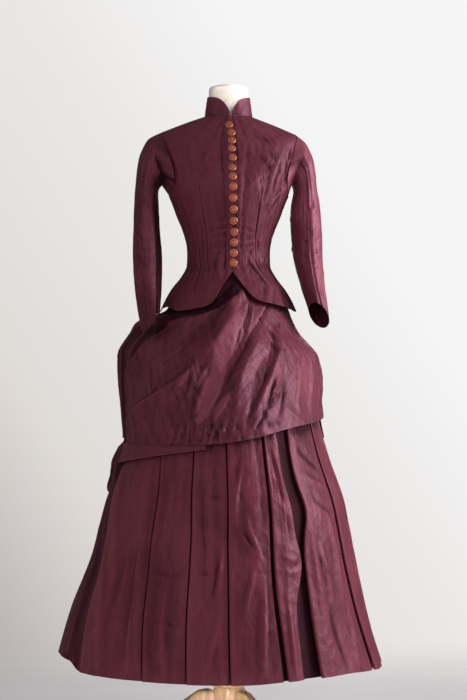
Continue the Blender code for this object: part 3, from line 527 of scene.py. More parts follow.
def shell(name, grid, material, nodes, closed=False, thick=0.0011, lined=None, shade=0.0):
    """A thin cloth shell whose outer face is the grid. Its map holds metres across and down the cloth, and
    its hollow value holds the depth in the folds plus the painted shade that is given, as where other cloth
    lies over it, negative for painted light; the material paints shade and highlight from this value."""
    rows, cols = grid.shape[:2]
    size, low = rows * cols, (rows - 1) * cols
    inner = grid - normals(grid, closed) * thick
    outer = quads(rows, cols, around=closed)
    j = np.arange(cols - 1 + closed)
    k = (j + 1) % cols
    faces = [outer, outer[:, ::-1] + size, np.stack([j, k, k + size, j + size], -1),
             np.stack([low + k, low + j, low + j + size, low + k + size], -1)]
    if not closed:
        left = np.arange(rows - 1) * cols
        right = left + cols - 1
        faces.append(np.stack([left + cols, left, left + size, left + cols + size], -1))
        faces.append(np.stack([right, right + cols, right + cols + size, right + size], -1))
    faces = np.concatenate(faces)
    mesh = bpy.data.meshes.new(name)
    mesh.from_pydata(np.concatenate([grid.reshape(-1, 3), inner.reshape(-1, 3)]).tolist(), [], faces.tolist())
    middle = grid[rows // 2]
    across = np.concatenate([[0.0], np.cumsum(np.linalg.norm(np.diff(middle, axis=0), axis=1))])
    down = np.concatenate([[0.0], np.cumsum(np.linalg.norm(np.diff(grid[:, cols // 2], axis=0), axis=1))])
    column, row = faces % size % cols, faces % size // cols
    u = across[column]
    if closed:
        gap = np.linalg.norm(middle[0] - middle[-1])
        u = np.where((column == 0) & (column.max(1, keepdims=True) == cols - 1), across[-1] + gap, u)
    layer = mesh.uv_layers.new(name="cloth")
    layer.data.foreach_set("uv", np.stack([u, down[row]], -1).ravel().astype(np.float32))
    # Painted shade: the hollow value darkens the cloth in its folds and where shade is given, and the inside
    # faces lie INSIDE_SHADE deeper.
    depth = (hollows(grid, closed) + shade).ravel()
    hollow = mesh.attributes.new("hollow", "FLOAT", "POINT")
    hollow.data.foreach_set("value", np.concatenate([depth, depth + INSIDE_SHADE]).astype(np.float32))
    mesh.materials.append(material)
    mesh.materials.append(lined or lining)
    inside = np.zeros(len(faces), np.int32)
    inside[len(outer):2 * len(outer)] = 1
    mesh.polygons.foreach_set("material_index", inside)
    mesh.shade_smooth()
    mesh.set_sharp_from_angle(angle=np.radians(62.0))
    piece = placed(name, mesh)
    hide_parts(*nodes)
    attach(piece, "root")
    return piece


def taffeta(name, dark, light, crush=1.0, streaks=(60.0, 5.0), seed=0.0, gloss=(0.52, 0.38)):
    """Silk taffeta with fine cross ribs and a crisp crush, with painted shade and a painted highlight from
    the cloth's hollow value; streaks are lines per metre.
    """
    material, start, shader = finish(name, Specular_IOR_Level=0.50, Sheen_Weight=0.05, Sheen_Roughness=0.35,
                                     Sheen_Tint=(1.0, 0.55, 0.72, 1.0), Specular_Tint=(1.0, 0.48, 0.72, 1.0))
    place = start.node("Mapping", {}, {"Vector": start.place(), "Location": (seed, seed * 0.7, seed * 1.3)})
    cloth = start.node("UVMap", {"uv_map": "cloth"}, {})
    deep = start.node("Attribute", {"attribute_name": "hollow"}, {}, 2)
    broad = place.noise(5.0, 3.0, 0.5, 0.6)
    soft = place.noise(20.0, 4.0, 0.5, 1.2)
    fine = place.noise(70.0, 3.0, 0.5, 1.4)
    lines = cloth.stretched((streaks[0], streaks[1], 1.0)).noise(1.0, 4.0, 0.62, 0.25)
    ribs = cloth.stretched((40.0, 1500.0, 1.0)).noise(1.0, 1.0, 0.5)
    warp = cloth.stretched((1500.0, 40.0, 1.0)).noise(1.0, 1.0, 0.5)
    # The colour carries painted shade and a painted highlight. It darkens towards shaded where the hollow
    # value is high, in folds and shaded places, and brightens towards bright where it is low, on crests and
    # lit planes. Its streaks along the grain are partly the weave's own tone and partly painted sheen.
    blend = broad.between(0.3, 0.7, 0.0, 0.55) + lines.between(0.35, 0.7, 0.0, 0.45) - deep * 0.35
    colour = blend.between(0.0, 1.0).colours(dark, light)
    shaded = tuple(0.15 * c for c in dark)
    bright = tuple(k * c for k, c in zip((1.5, 1.85, 1.7), light))
    colour = deep.between(0.05, 1.6, 0.0, 0.95).colours(colour, shaded)
    colour = deep.between(-2.6, -0.9, 1.0, 0.0).colours(colour, bright)
    roughness = lines.between(0.3, 0.75, *gloss) + deep.between(0.3, 1.3, 0.0, 0.5)
    drift = place.node("TexNoise", {}, {"Vector": place, "Scale": 9.0}, 1)
    bent = place.node("VectorMath", {"operation": "MULTIPLY_ADD"}, {0: drift, 1: (0.07,) * 3, 2: place})
    facets = bent.cells(15.0) * 0.9 + bent.cells(37.0) * 0.4
    crushed = abs(soft - 0.5) * -0.6 + abs(fine - 0.5) * -0.3 + lines * 0.34 + facets
    dress(shader, start, colour, roughness, crushed * crush + ribs * 0.04 + warp * 0.03, 0.0044)
    return material


# The inside faces of the cloth: a lining whose near-black plum colour is painted shade.
lining, start, shader = finish("lining_in_painted_shade", Roughness=0.85, Specular_IOR_Level=0.1)
place = start.place()
dress(shader, start,
      place.noise(60.0).between(0.3, 0.7).colours((0.042, 0.009, 0.015), (0.066, 0.014, 0.023)))

skirt_silk = taffeta("skirt_taffeta", (0.118, 0.0195, 0.029), (0.215, 0.039, 0.057), 1.0, (34.0, 3.0), 1.0)

# Columns of points in each pleat, with fewer on the faces at the back.
FACE, FOLDS = 24, 10
KEPT = np.ones((len(PLEATS), FACE + FOLDS), bool)
for pleat in (0, 1, 2, 3, 12, 13, 14, 15, 16):
    KEPT[pleat, [k for k in range(FACE - 1) if k % 3]] = False

# How deep in shade each column lies: in every pleat, then where a single pleat is lit or shaded differently.
COLUMN_SHADE = np.tile([0.0] * 20 + [0.1, 0.3, 0.6, 0.9] + [1.5] * 7 + [0.3, 0.0, 0.0], (len(PLEATS), 1))
COLUMN_SHADE[4, :FACE] = np.linspace(0.3, 1.4, FACE)
COLUMN_SHADE[5, :20] = -1.0
COLUMN_SHADE[10, :19] = 0.45
COLUMN_SHADE[8, 17:24] = 0.15, 0.35, 0.55, 0.7, 0.8, 0.85, 0.9
COLUMN_SHADE[9, 20:27] = 0.1, 0.25, 0.4, 0.5, 0.5, 0.5, 0.9
COLUMN_SHADE[10:12, 19:24] = 0.1, 0.3, 0.5, 0.8, 1.1

HIP_LEVEL = 0.80              # below it the pleats' edges run straight
CLOSED = 1.275                # here all pleats are evenly wide and lie flat
OPEN_PLEAT = 9                # this one swings open at the hem, so that its face narrows and turns away
EDGE_WIDTH = 0.0028           # of the rounded lying edge
STEP = 0.5                    # degrees to both sides, for the outline's direction

# Depths behind the outline at the hem, at the hip level and where the pleats close: how far a face leans in,
# where the middle layer of cloth lies, and how much further in the hidden layer lies.
LEAN, MIDDLE, HIDDEN = (0.0060, 0.0020, 0.0), (0.0085, 0.0058, 0.0040), (0.0110, 0.0040, 0.0013)


def around_skirt(points):
    """Angle of points from the centre front, seen from the middle of the skirt."""
    return np.degrees(np.arctan2(points[..., 0], 0.12 + AXIS_Y - points[..., 1]))


def column(*values):
    return np.array(values)[:, None]


def pleat_row(height):
    """One level of the pleated skirt: points of the cloth all round, with its hidden folds."""
    hip = ramp(height, HEM, HIP_LEVEL - HEM)
    close = ramp(height, HIP_LEVEL, CLOSED - HIP_LEVEL)
    lean, middle, hidden = (-(hem * (1 - hip) + mid * hip + (top - mid) * close)
                            for hem, mid, top in (LEAN, MIDDLE, HIDDEN))
    tail = middle + hidden

    # The lying edges of the pleats, and degrees for a metre of cloth at both ends of a face.
    edge = PLEATS[:, 0] * (1 - hip) + PLEATS[:, 1] * hip
    for pleat, level, degrees, spread in EDGE_SWAYS:
        edge[int(pleat)] += degrees * hump(height, level, spread)
    edge = edge * (1 - close) + np.linspace(-180, 180 - 360 / len(edge), len(edge)) * close
    after = np.append(edge[1:], edge[0] + 360)
    ring = outline(SKIRT, np.array([edge - STEP, edge + STEP, after - STEP, after + STEP]), height)
    here, there = (1.0 / np.linalg.norm(ring[k + 1] - ring[k], axis=1) for k in (0, 2))

    # How wide each face is, how far the cloth goes in under the next pleat, and where the face starts to dip.
    face = (after - edge) / (here + there) * 2
    tuck = np.minimum(PLEATS[:, 4] * (1 - 0.45 * hip), 0.42 * face)
    flat = (PLEATS[:, 2] * (1 - hip) + PLEATS[:, 3] * hip) * (1 - close) + 0.84 * close
    flat[OPEN_PLEAT] += (0.34 * hump(height, 0.54, 0.07) - 0.24 * (1 - hip) ** 2) * (1 - close)
    dip = 0.0022 + 0.35 * (1 - flat) * face
    dip[OPEN_PLEAT] += 0.65 * (1 - flat[OPEN_PLEAT]) * face[OPEN_PLEAT]

    share = np.linspace(0.0, 1.0, FACE)[:, None]
    begin, end = edge + EDGE_WIDTH * here, after - dip * there
    across = begin + (end - begin) * share
    relief = 1.8 * creases(SKIRT_CREASES, across, height, 0.0062, 0.012)
    relief += 0.0026 * rumple(across * 0.075 + 3.1, height * 2.6 + 0.0 * across, 5, 2)
    relief += 0.0009 * rumple(across * 0.22 - height * 3.0, height * 12.0 + across * 0.1, 9, 3)
    relief *= np.clip(share * 9, 0, 1) * np.clip((1 - share) * 6, 0, 1) * (1 - close)

    # Angle and distance out of the points: the face, the dip under the next pleat, the end of the tuck and
    # its turn, the hidden layer on its way back, and the rounded edge of the next pleat.
    points = (
        (across, lean * share**1.5 + relief),
        (end + (0.88 * dip - 0.0016) * there * column(0.12, 0.35, 1.0),
         lean + (tail * 0.96 - lean) * column(0.55, 0.95, 1.0)),
        (after + tuck * there, tail),
        (after + (tuck + 0.001) * there, (tail + middle) / 2),
        (after + (tuck * column(1.0, 0.0) + EDGE_WIDTH * column(0.0, 1.0)) * there, middle),
        (after + column(0.0006, -0.0004, 0.0006) * there, middle * column(0.86, 0.5, 0.14)))
    angle = np.concatenate([np.atleast_2d(a) for a, _ in points]).T[KEPT]
    out = np.concatenate([np.broadcast_to(o, np.atleast_2d(a).shape) for a, o in points]).T[KEPT]
    point = outline(SKIRT, np.array([angle - STEP, angle, angle + STEP]), height)
    chord = (point[2] - point[0]) / np.linalg.norm(point[2] - point[0], axis=1, keepdims=True)
    path = point[1] + np.stack([chord[:, 1], -chord[:, 0], 0 * angle], -1) * out[:, None]
    drop = (1 - ramp(height, HEM, 0.4)) ** 2
    path[:, 2] += (along(HEM_LINE, around_skirt(path), 1) - HEM) * drop
    return path


# Lower edge of what hangs over the skirt.
OVER = measured([
    # angle, height
    (-180, 700), (-110, 700), (-82, 760), (-80, 800), (-34, 810), (-18, 811), (3, 822), (28, 844),
    (64, 870), (90, 885), (104, 890), (112, 700), (180, 700)], 0)

levels = np.concatenate([np.linspace(WAIST, 0.88, 10)[:-1], np.linspace(0.88, HEM, 103)])
grid = np.array([pleat_row(level) for level in levels])
# Painted shade: each column's own, and a painted shadow just below what hangs over the skirt.
below = np.interp(around_skirt(grid), OVER[:, 0], OVER[:, 1]) - grid[:, :, 2]
shade = COLUMN_SHADE[KEPT] + 1.2 * np.exp(-np.maximum(below, 0.0) / 0.016)
skirt = shell("underskirt_pleats", grid, skirt_silk,
              ["underskirt_front", "underskirt_right", "underskirt_left", "underskirt_back"],
              closed=True, shade=shade)

# ---- Puffs over the bustle ------------------------------------------------------------------------
# The back drapery is two widths of taffeta gathered top and bottom and mounted over the bustle, the
# upper one tucked in under both side edges of the apron and the lower one a narrow band of gathers.

# Outline of the overskirt, with the columns of the underskirt's.
HIP = measured([
    # height, right, left, front, back, widest
    (1275, 97.5, 97.5, 83.5, 73.5, 0),
    (1254, 99.2, 99.2, 85.2, 77, 0),
    (1224, 110.5, 110.5, 89, 92, 0),
    (1195, 130, 130, 100, 119, 10),
    (1165, 147, 144, 115, 152, 22),
    (1140, 163, 157, 128, 180, 45),
    (1120, 224, 168, 140, 225, 70),
    (1090, 245, 186, 156, 285, 100),
    (1035, 271, 240, 188, 325, 145),
    (977, 268, 252, 225, 340, 165),
    (920, 262, 250, 255, 345, 165),
    (870, 260, 254, 278, 340, 155),
    (815, 262, 262, 295, 335, 135),
    (770, 272, 272, 308, 338, 122),
    (690, 297, 295, 324, 354, 108)])

# Side edges of the apron by height, as angles from the centre front.
APRON_SIDE = measured([
    # height, right_edge, left_edge
    (1262, -60, 96),
    (1165, -50, 100),
    (1100, -40, 104),
    (1054, -52, 108),
    (958, -73, 110),
    (870, -74, 108),
    (800, -73, 104)], 1, 2)

# Rows of the two puffs: height, distance out from the outline and share of the gathers' depth.
UPPER_PUFF = measured([
    # height, out, gathers
    (1200, -4, 0),
    (1182, -4, 0),
    (1163, -4, 0),
    (1143, -4, 0),
    (1127, -4.5, 0.1),
    (1112, -5.5, 0.5),
    (1085, -6, 1),
    (1035, -6, 1),
    (977, -5.5, 1),
    (920, -4.5, 1),
    (865, -4, 0.8),
    (825, -4, 0.4)], 2)
LOWER_PUFF = measured([
    # height, out, gathers
    (850, -8.5, 0),
    (820, -8, 0),
    (800, 5, 0.3),
    (765, 8, 1),
    (728, 5, 1),
    (702, 3, 0.6),
    (690, -2, 0.3)], 2)

# Gathers of the puffs, uneven in length and depth: three points, both slopes and the rise.
UPPER_GATHERS = measured([
    # a0, z0, a1, z1, a2, z2, left, right, rise
    (-62, 1080, -70, 980, -72, 860, 12, 16, 6),
    (-78, 1100, -81, 980, -84, 850, 20, 12, 9),
    (-90, 1100, -91, 1030, -89, 940, 8, 14, 6),
    (-100, 1115, -101, 980, -98, 840, 18, 22, 11),
    (-110, 960, -112, 900, -110, 835, 10, 10, 7),
    (-120, 1120, -119, 980, -122, 840, 24, 16, 12),
    (-131, 1110, -130, 1040, -132, 980, 10, 12, 6),
    (-142, 1120, -143, 980, -140, 840, 16, 22, 11),
    (-153, 980, -152, 900, -155, 835, 12, 10, 7),
    (-165, 1125, -163, 980, -163, 840, 22, 18, 13),
    (-177, 1120, -178, 1030, -176, 930, 10, 14, 7),
    (172, 1125, 173, 980, 170, 840, 18, 22, 12),
    (161, 970, 160, 900, 162, 835, 12, 12, 7),
    (150, 1120, 149, 980, 152, 840, 22, 16, 11),
    (138, 1110, 137, 1020, 139, 900, 14, 12, 7),
    (126, 1115, 127, 980, 124, 850, 16, 20, 8)], 0, 2, 4)
LOWER_GATHERS = measured([
    # a0, z0, a1, z1, a2, z2, left, right, rise
    (-88, 830, -85, 780, -84, 700, 12, 14, 7),
    (-97, 815, -98, 780, -96, 730, 8, 10, 5),
    (-106, 840, -107, 770, -108, 695, 14, 16, 9),
    (-118, 820, -119, 780, -117, 720, 10, 10, 6),
    (-130, 840, -129, 770, -128, 695, 16, 14, 10),
    (-142, 820, -143, 770, -141, 710, 10, 12, 6),
    (-155, 840, -155, 770, -156, 695, 14, 18, 10),
    (-167, 815, -168, 770, -166, 720, 10, 10, 6),
    (-180, 840, -180, 770, -180, 695, 18, 14, 11),
    (167, 820, 168, 770, 166, 710, 10, 12, 6),
    (154, 840, 155, 770, 156, 695, 14, 16, 10),
    (141, 815, 142, 770, 140, 720, 10, 10, 5),
    (128, 840, 129, 770, 130, 700, 16, 12, 9),
    (104, 830, 105, 780, 106, 710, 12, 14, 7)], 0, 2, 4)

puff_silk = taffeta("puff_taffeta", (0.122, 0.021, 0.034), (0.175, 0.033, 0.052), 0.9, (60.0, 6.0), 2.0)


def puff(table, first, end, gathers, rows, cols, seed, under):
    """Grid and shade of a puff from its first angle back round to its end on the wearer's right. Under holds
    the angle where it starts to dip beneath the apron and how deep it dips."""
    height = np.linspace(table[0, 0], table[-1, 0], rows)[:, None]
    angle = first + (end(height) - first) * np.linspace(0.0, 1.0, cols)[None, :]
    out, share = along(table, height, 1), along(table, height, 2)
    dip = under[1] * ramp(angle, under[0], 14.0)
    height = height + 0.0 * angle
    rise = creases(gathers, angle, height, 0.0050) + 0.0018 * rumple(angle * 0.20, height * 9.0, seed)
    # Painted shade over the puff on the wearer's right, from 252 degrees round to its end.
    shade = 1.3 * ramp(angle, 252.0, 20.0)
    return outline(HIP, angle, height, out - dip + share * rise), shade


def upper_end(height):
    """The upper puff runs on 8 degrees behind the apron's edge on the wearer's right."""
    return 368.0 + np.interp(height, APRON_SIDE[::-1, 0], APRON_SIDE[::-1, 1])


def lower_end(height):
    return 284.0 + 0 * height


grid, shade = puff(UPPER_PUFF, 84.0, upper_end, UPPER_GATHERS, 96, 230, 21, (306.0, 0.0050))
upper = shell("bustle_puff_upper_gathers", grid, puff_silk, ["bustle_puff_upper"],
              shade=shade)
grid, shade = puff(LOWER_PUFF, 98.0, lower_end, LOWER_GATHERS, 44, 200, 33, (268.0, 0.0170))
lower = shell("bustle_puff_lower_gathers", grid, puff_silk, ["bustle_puff_lower"],
              shade=shade)

# ---- Apron drape and its band ---------------------------------------------------------------------
# The apron is one shaped width of taffeta, pleated into the waist and swept down in soft diagonal folds
# to the wearer's right, where its lower edge is gathered above a straight band sewn on by its top edge.

# Lower edge of the apron.
APRON_HEM = measured([
    # angle, height
    (-80, 814),
    (-34, 810),
    (-18, 811),
    (3, 822),
    (28, 849),
    (64, 871),
    (90, 885),
    (120, 910)], 0)

# Folds of the apron: the broad ones first, then pleats at the waist, small points, gathers and ripples.
APRON_FOLDS = measured([
    # a0, z0, a1, z1, a2, z2, left, right, rise
    (15.9, 1195, -3.2, 1157, -27, 1110, 6, 30, 8),
    (8, 1218, -8.1, 1176, -23, 1140, 12, 6, -4.5),
    (5, 1168, -8, 1072, -20, 1000, 50, 54, 27),
    (12, 1085, 0, 1005, -12, 910, 12, 8, -5.5),
    (17, 1070, 4, 1000, -2, 900, 34, 34, 17),
    (28, 1075, 15, 967, 4, 865, 14, 6, -7),
    (36, 1085, 20, 1000, 8.5, 885, 18, 46, 15),
    (20.4, 975, 18.5, 939, 15.9, 905, 8, 5, -6),
    (28, 960, 26, 921, 22.6, 880, 10, 5, -7),
    (48.9, 1054, 39.1, 977, 35.8, 892, 12, 16, 3.6),
    (60.9, 1043, 51.5, 967, 46.3, 881, 10, 16, 3.8),
    (68, 1030, 64, 950, 56, 875, 12, 14, 4),
    (78, 1050, 76, 965, 72, 885, 24, 20, -6),
    (90, 1060, 84, 980, 78, 885, 20, 24, 6),
    (10.3, 1129, 7.3, 1104, 3.9, 1076, 4, 6, -5),
    (4.6, 1096, 1.6, 1071, -0.6, 1046, 4, 6, -4.4),
    (-20.5, 984, -23.9, 950, -26.5, 924, 6, 12, 6),
    (-16.8, 981, -18.3, 943, -21.3, 912, 6, 12, 7),
    (-26.1, 966, -32.9, 935, -38.1, 904, 10, 10, 4.6),
    (-21.3, 928, -20.5, 905, -22.8, 885, 12, 5, 8),
    (-20.5, 1000, -38.5, 945, -66.4, 893, 8, 34, 11),
    (14.4, 1155, 10.6, 1119, 4.6, 1068, 5, 8, -3.4),
    (18.4, 1155, 14.6, 1119, 9.6, 1085, 6, 5, 3),
    (34.6, 1146, 17.8, 1100, 5.9, 1050, 8, 12, -3.8),
    (-23.1, 1026, -24.2, 996, -26.1, 958, 5, 4, 2.8),
    (-19.4, 1028, -19.8, 998, -20.9, 967, 5, 4, 2.6),
    (-13.1, 1010, -16.8, 981, -21.1, 950, 5, 7, 3.4),
    (-27.6, 987, -29.5, 968, -32.9, 939, 6, 4, 2.6),
    (-4.4, 936, -9.2, 898, -14.4, 863, 5, 8, 5),
    (-9.2, 939, -13.8, 910, -17.6, 873, 6, 6, 4.4),
    (-30.6, 864, -31.8, 840, -34, 812, 5, 6, 4),
    (-26.1, 868, -27.2, 840, -28.8, 812, 6, 5, 4.8),
    (-22, 861, -23.1, 836, -23.9, 813, 5, 6, 4.2),
    (-17.1, 870, -18.2, 840, -19, 813, 6, 7, 5),
    (-12.6, 870, -14.1, 840, -15.2, 813, 6, 5, 4.4),
    (-7.4, 873, -9.2, 845, -10.8, 815, 6, 8, 4.8),
    (-2.5, 873, -4, 845, -6.2, 817, 7, 6, 4),
    (2, 863, 0.5, 843, -1.4, 823, 6, 6, 3.4),
    (-37, 852, -36, 836, -38, 811, 7, 5, 3),
    (-57.1, 880, -52.4, 845, -47.5, 812, 12, 10, 3.6),
    (-41.4, 888, -37.4, 854, -36.2, 822, 10, 8, 3.4),
    (-69.2, 894, -65.9, 857, -64.4, 815, 10, 12, 3.6),
    (-41.1, 1019, -40.4, 979, -39.2, 940, 6, 6, 1.4),
    (-50.1, 995, -49.8, 955, -49.8, 917, 6, 6, 1.4),
    (-31.4, 1046, -30.2, 1006, -29.9, 973, 6, 6, 1.4),
    (40.2, 1049, 37.6, 984, 35, 907, 7, 9, 3),
    (53.4, 1047, 50.1, 986, 48.2, 913, 7, 9, 3),
    (20, 1041, 17, 996, 12.9, 942, 7, 6, -2.6),
    (26.8, 1007, 21.5, 958, 17, 906, 8, 8, 3),
    (26, 956, 21.1, 930, 15.9, 903, 12, 14, -6),
    (11.4, 870, 9.1, 854, 5.8, 838, 7, 10, -4.4),
    (-2, 1180, -9, 1130, -14, 1080, 30, 10, -5)], 0, 2, 4)

apron_silk = taffeta("apron_taffeta", (0.115, 0.020, 0.034), (0.195, 0.040, 0.063), 0.85, (70.0, 4.0), 3.0)

# The hem of the bodice that hangs over the apron.
BASQUE = measured([
    # angle, right, left
    (0, 1231, 1231),
    (9, 1200, 1202),
    (16, 1162, 1172),
    (21, 1146, 1160),
    (33, 1137, 1152),
    (48, 1133, 1146),
    (62, 1143, 1140),
    (78, 1148, 1143),
    (90, 1137, 1140),
    (104, 1150, 1150),
    (130, 1158, 1158),
    (180, 1150, 1150)], 0)


def basque_edge(angle):
    """Height of the basque's hem, with the wearer's right at angles below zero."""
    return np.where(angle < 0, along(BASQUE, abs(angle), 1), along(BASQUE, abs(angle), 2))


# The apron lies in the basque's shadow above this line.
SHADOW_LINE = measured([
    # angle, height
    (-60, 1100), (-40, 1106), (-25.7, 1119), (-19, 1124), (-13, 1133), (-3.2, 1159), (7.2, 1179),
    (13, 1190), (18, 1240), (120, 1240)], 0)

# Where the cloth lies in shadow, or with a minus sign where it catches the light.
APRON_TONES = measured([
    # angle, height, spread of both, how dark
    (20.5, 1000, 4, 28, -1), (19, 862, 9, 12, 0.9), (18.5, 945, 2.6, 30, 0.7), (26, 920, 2.6, 30, 0.7),
    (45, 970, 12, 75, -1.8), (-45, 900, 14, 30, -0.5), (-22, 840, 12, 14, -0.5), (78, 1095, 16, 45, 0.4),
    (-40, 1030, 16, 60, -0.5), (-50, 850, 16, 20, -0.5)], 0, 2, 4)

# Planes of the folds that catch the light, and hollows that the folds shade: three points and both widths.
APRON_LIT = measured([
    # a0, z0, a1, z1, a2, z2, left, right, how bright
    (-1.8, 1143, -7.8, 1034, -19.4, 907, 12, 36, 0.9),
    (-5.5, 1083, -12.2, 962, -21.2, 887, 16, 30, 2),
    (-6.2, 927, -9.2, 905, -13, 875, 10, 14, 1.7),
    (-17.1, 889, -19.8, 875, -22.8, 861, 10, 12, 1.6),
    (-22.4, 1005, -21.6, 977, -20.9, 948, 5, 5, 1.4),
    (-20.1, 1011, -19, 981, -19, 952, 4, 5, 1.2),
    (-15.6, 986, -17.9, 967, -20.9, 943, 5, 5, 1.2),
    (-23.9, 986, -26.9, 968, -29.9, 948, 8, 10, 1.3)], 0, 2, 4, 8)
APRON_DARK = measured([
    # a0, z0, a1, z1, a2, z2, left, right, how dark
    (-1, 990, -4, 957, -7.4, 924, 10, 12, 0.25),
    (-7.4, 931, -12.2, 907, -17.1, 880, 4, 4, 0.8),
    (-18.6, 865, -14.5, 852, -10.4, 840, 10, 10, 0.8),
    (-29.9, 927, -25.8, 899, -21.6, 873, 30, 18, 0.15),
    (14.8, 1049, 0.9, 981, -4, 903, 12, 18, 0.5),
    (18.1, 916, 14, 887, 9.1, 863, 18, 16, 1.4)], 0, 2, 4, 8)

APRON_LENGTH = 0.462          # from the waist to the middle of the hem
APRON_TURN = 60.0             # angle where the dense columns of the front end
APRON_SPAN = 0.0045           # metres of cloth for a degree
share = np.linspace(0.0, 1.0, 212)[:, None]
nominal = WAIST - APRON_LENGTH * share
low, high = along(APRON_SIDE, nominal, 1), along(APRON_SIDE, nominal, 2)
u, bias = np.linspace(0.0, 1.0, 178)[None, :], 0.7 * np.cos(np.pi * ramp(share, 0.3, 0.6))
angle = np.concatenate([low + (APRON_TURN - low) * u * (1 + bias * (1 - u)),
                        APRON_TURN + (high - APRON_TURN) * np.linspace(0.0, 1.0, 43)[None, 1:]], 1)
height = WAIST + (along(APRON_HEM, angle, 1) - WAIST) * share

# The folds start below the basque; the lower edge is crumpled where it is gathered into the band, and the
# side edge at the wearer's right is rolled.
free = ramp(height, basque_edge(angle) - 0.006, -0.020)
rise = creases(APRON_FOLDS, angle, height, APRON_SPAN, 0.0025)
rise = np.where(rise > 0, rise * free, rise * ramp(height, 1.235, -0.02))
rise += 0.0018 * rumple(angle * 0.16 + height * 9.0, height * 7.0 - angle * 0.05, 41) * free
crumple = hump(angle, -14.0, 22.0) * hump(height, 0.838, 0.030)
rise += 0.0036 * crumple * rumple(angle * 0.42, height * 42.0, 47)
rise += 0.0024 * hump(angle, low, 1.3)

# Painted shade and light on the apron: a painted shadow above the shadow line and just under the basque,
# painted shade towards the wearer's left side, and the painted tones and lit and dark planes of the tables.
shadow = np.interp(angle, SHADOW_LINE[:, 0], SHADOW_LINE[:, 1])
shade = 2.2 * ramp(height, shadow, 0.005)
shade = np.maximum(shade, 1.1 * np.exp(-np.maximum(basque_edge(angle) - height, 0.0) / 0.012))
shade = shade + 0.5 * ramp(angle, 64.0, 12.0) * ramp(angle, 100.0, -16.0)
for a, z, wide, tall, deep in APRON_TONES:
    shade = shade + deep * hump(angle, a, wide) * hump(height, z, tall)
shade = shade - 1.6 * np.clip(1.6 * creases(APRON_LIT, angle, height, APRON_SPAN), 0, 2.2)
shade = shade + 0.8 * np.clip(1.6 * creases(APRON_DARK, angle, height, APRON_SPAN), 0, 1.8)
apron = shell("apron_drape", outline(HIP, angle, height, rise), apron_silk, ["apron"],
              shade=shade)

BAND_START, BAND_END, BAND_TOP = -82.0, -18.0, 0.8130
BAND_WIDE, BAND_NARROW = 0.0510, 0.0130
share = np.linspace(0.0, 1.0, 22)[:, None]
angle = np.linspace(BAND_START, BAND_END, 150)[None, :] + 0.0 * share
taper = (angle - BAND_START) / (BAND_END - BAND_START)
height = BAND_TOP - (BAND_WIDE * (1 - taper) + BAND_NARROW * taper) * share
out = -0.0026 + 0.0020 * share + 0.0009 * rumple(angle * 0.12, height * 20.0, 53) * share
out = out + 0.0005 * hump(share, 0.93, 0.05)
# The band is lightened all over by painted light.
band = shell("apron_band_strip", outline(HIP, angle, height, out), apron_silk,
             ["apron_band"], shade=-0.8)

# ---- Bodice ---------------------------------------------------------------------------------------
# Six panels of taffeta, flat-lined, are seamed close to the figure with two darts in each front. They
# run on below the waist into a basque that is cut away at the front and spreads over the hips.

# Edge of an armhole, as angles on the front and on the back.
ARMHOLE = measured([
    # height, front, back
    (1583, 87, 93),
    (1570, 74, 105),
    (1540, 66, 113),
    (1500, 63, 116),
    (1460, 66, 114),
    (1440, 72, 109),
    (1432, 78, 104)], 1, 2)

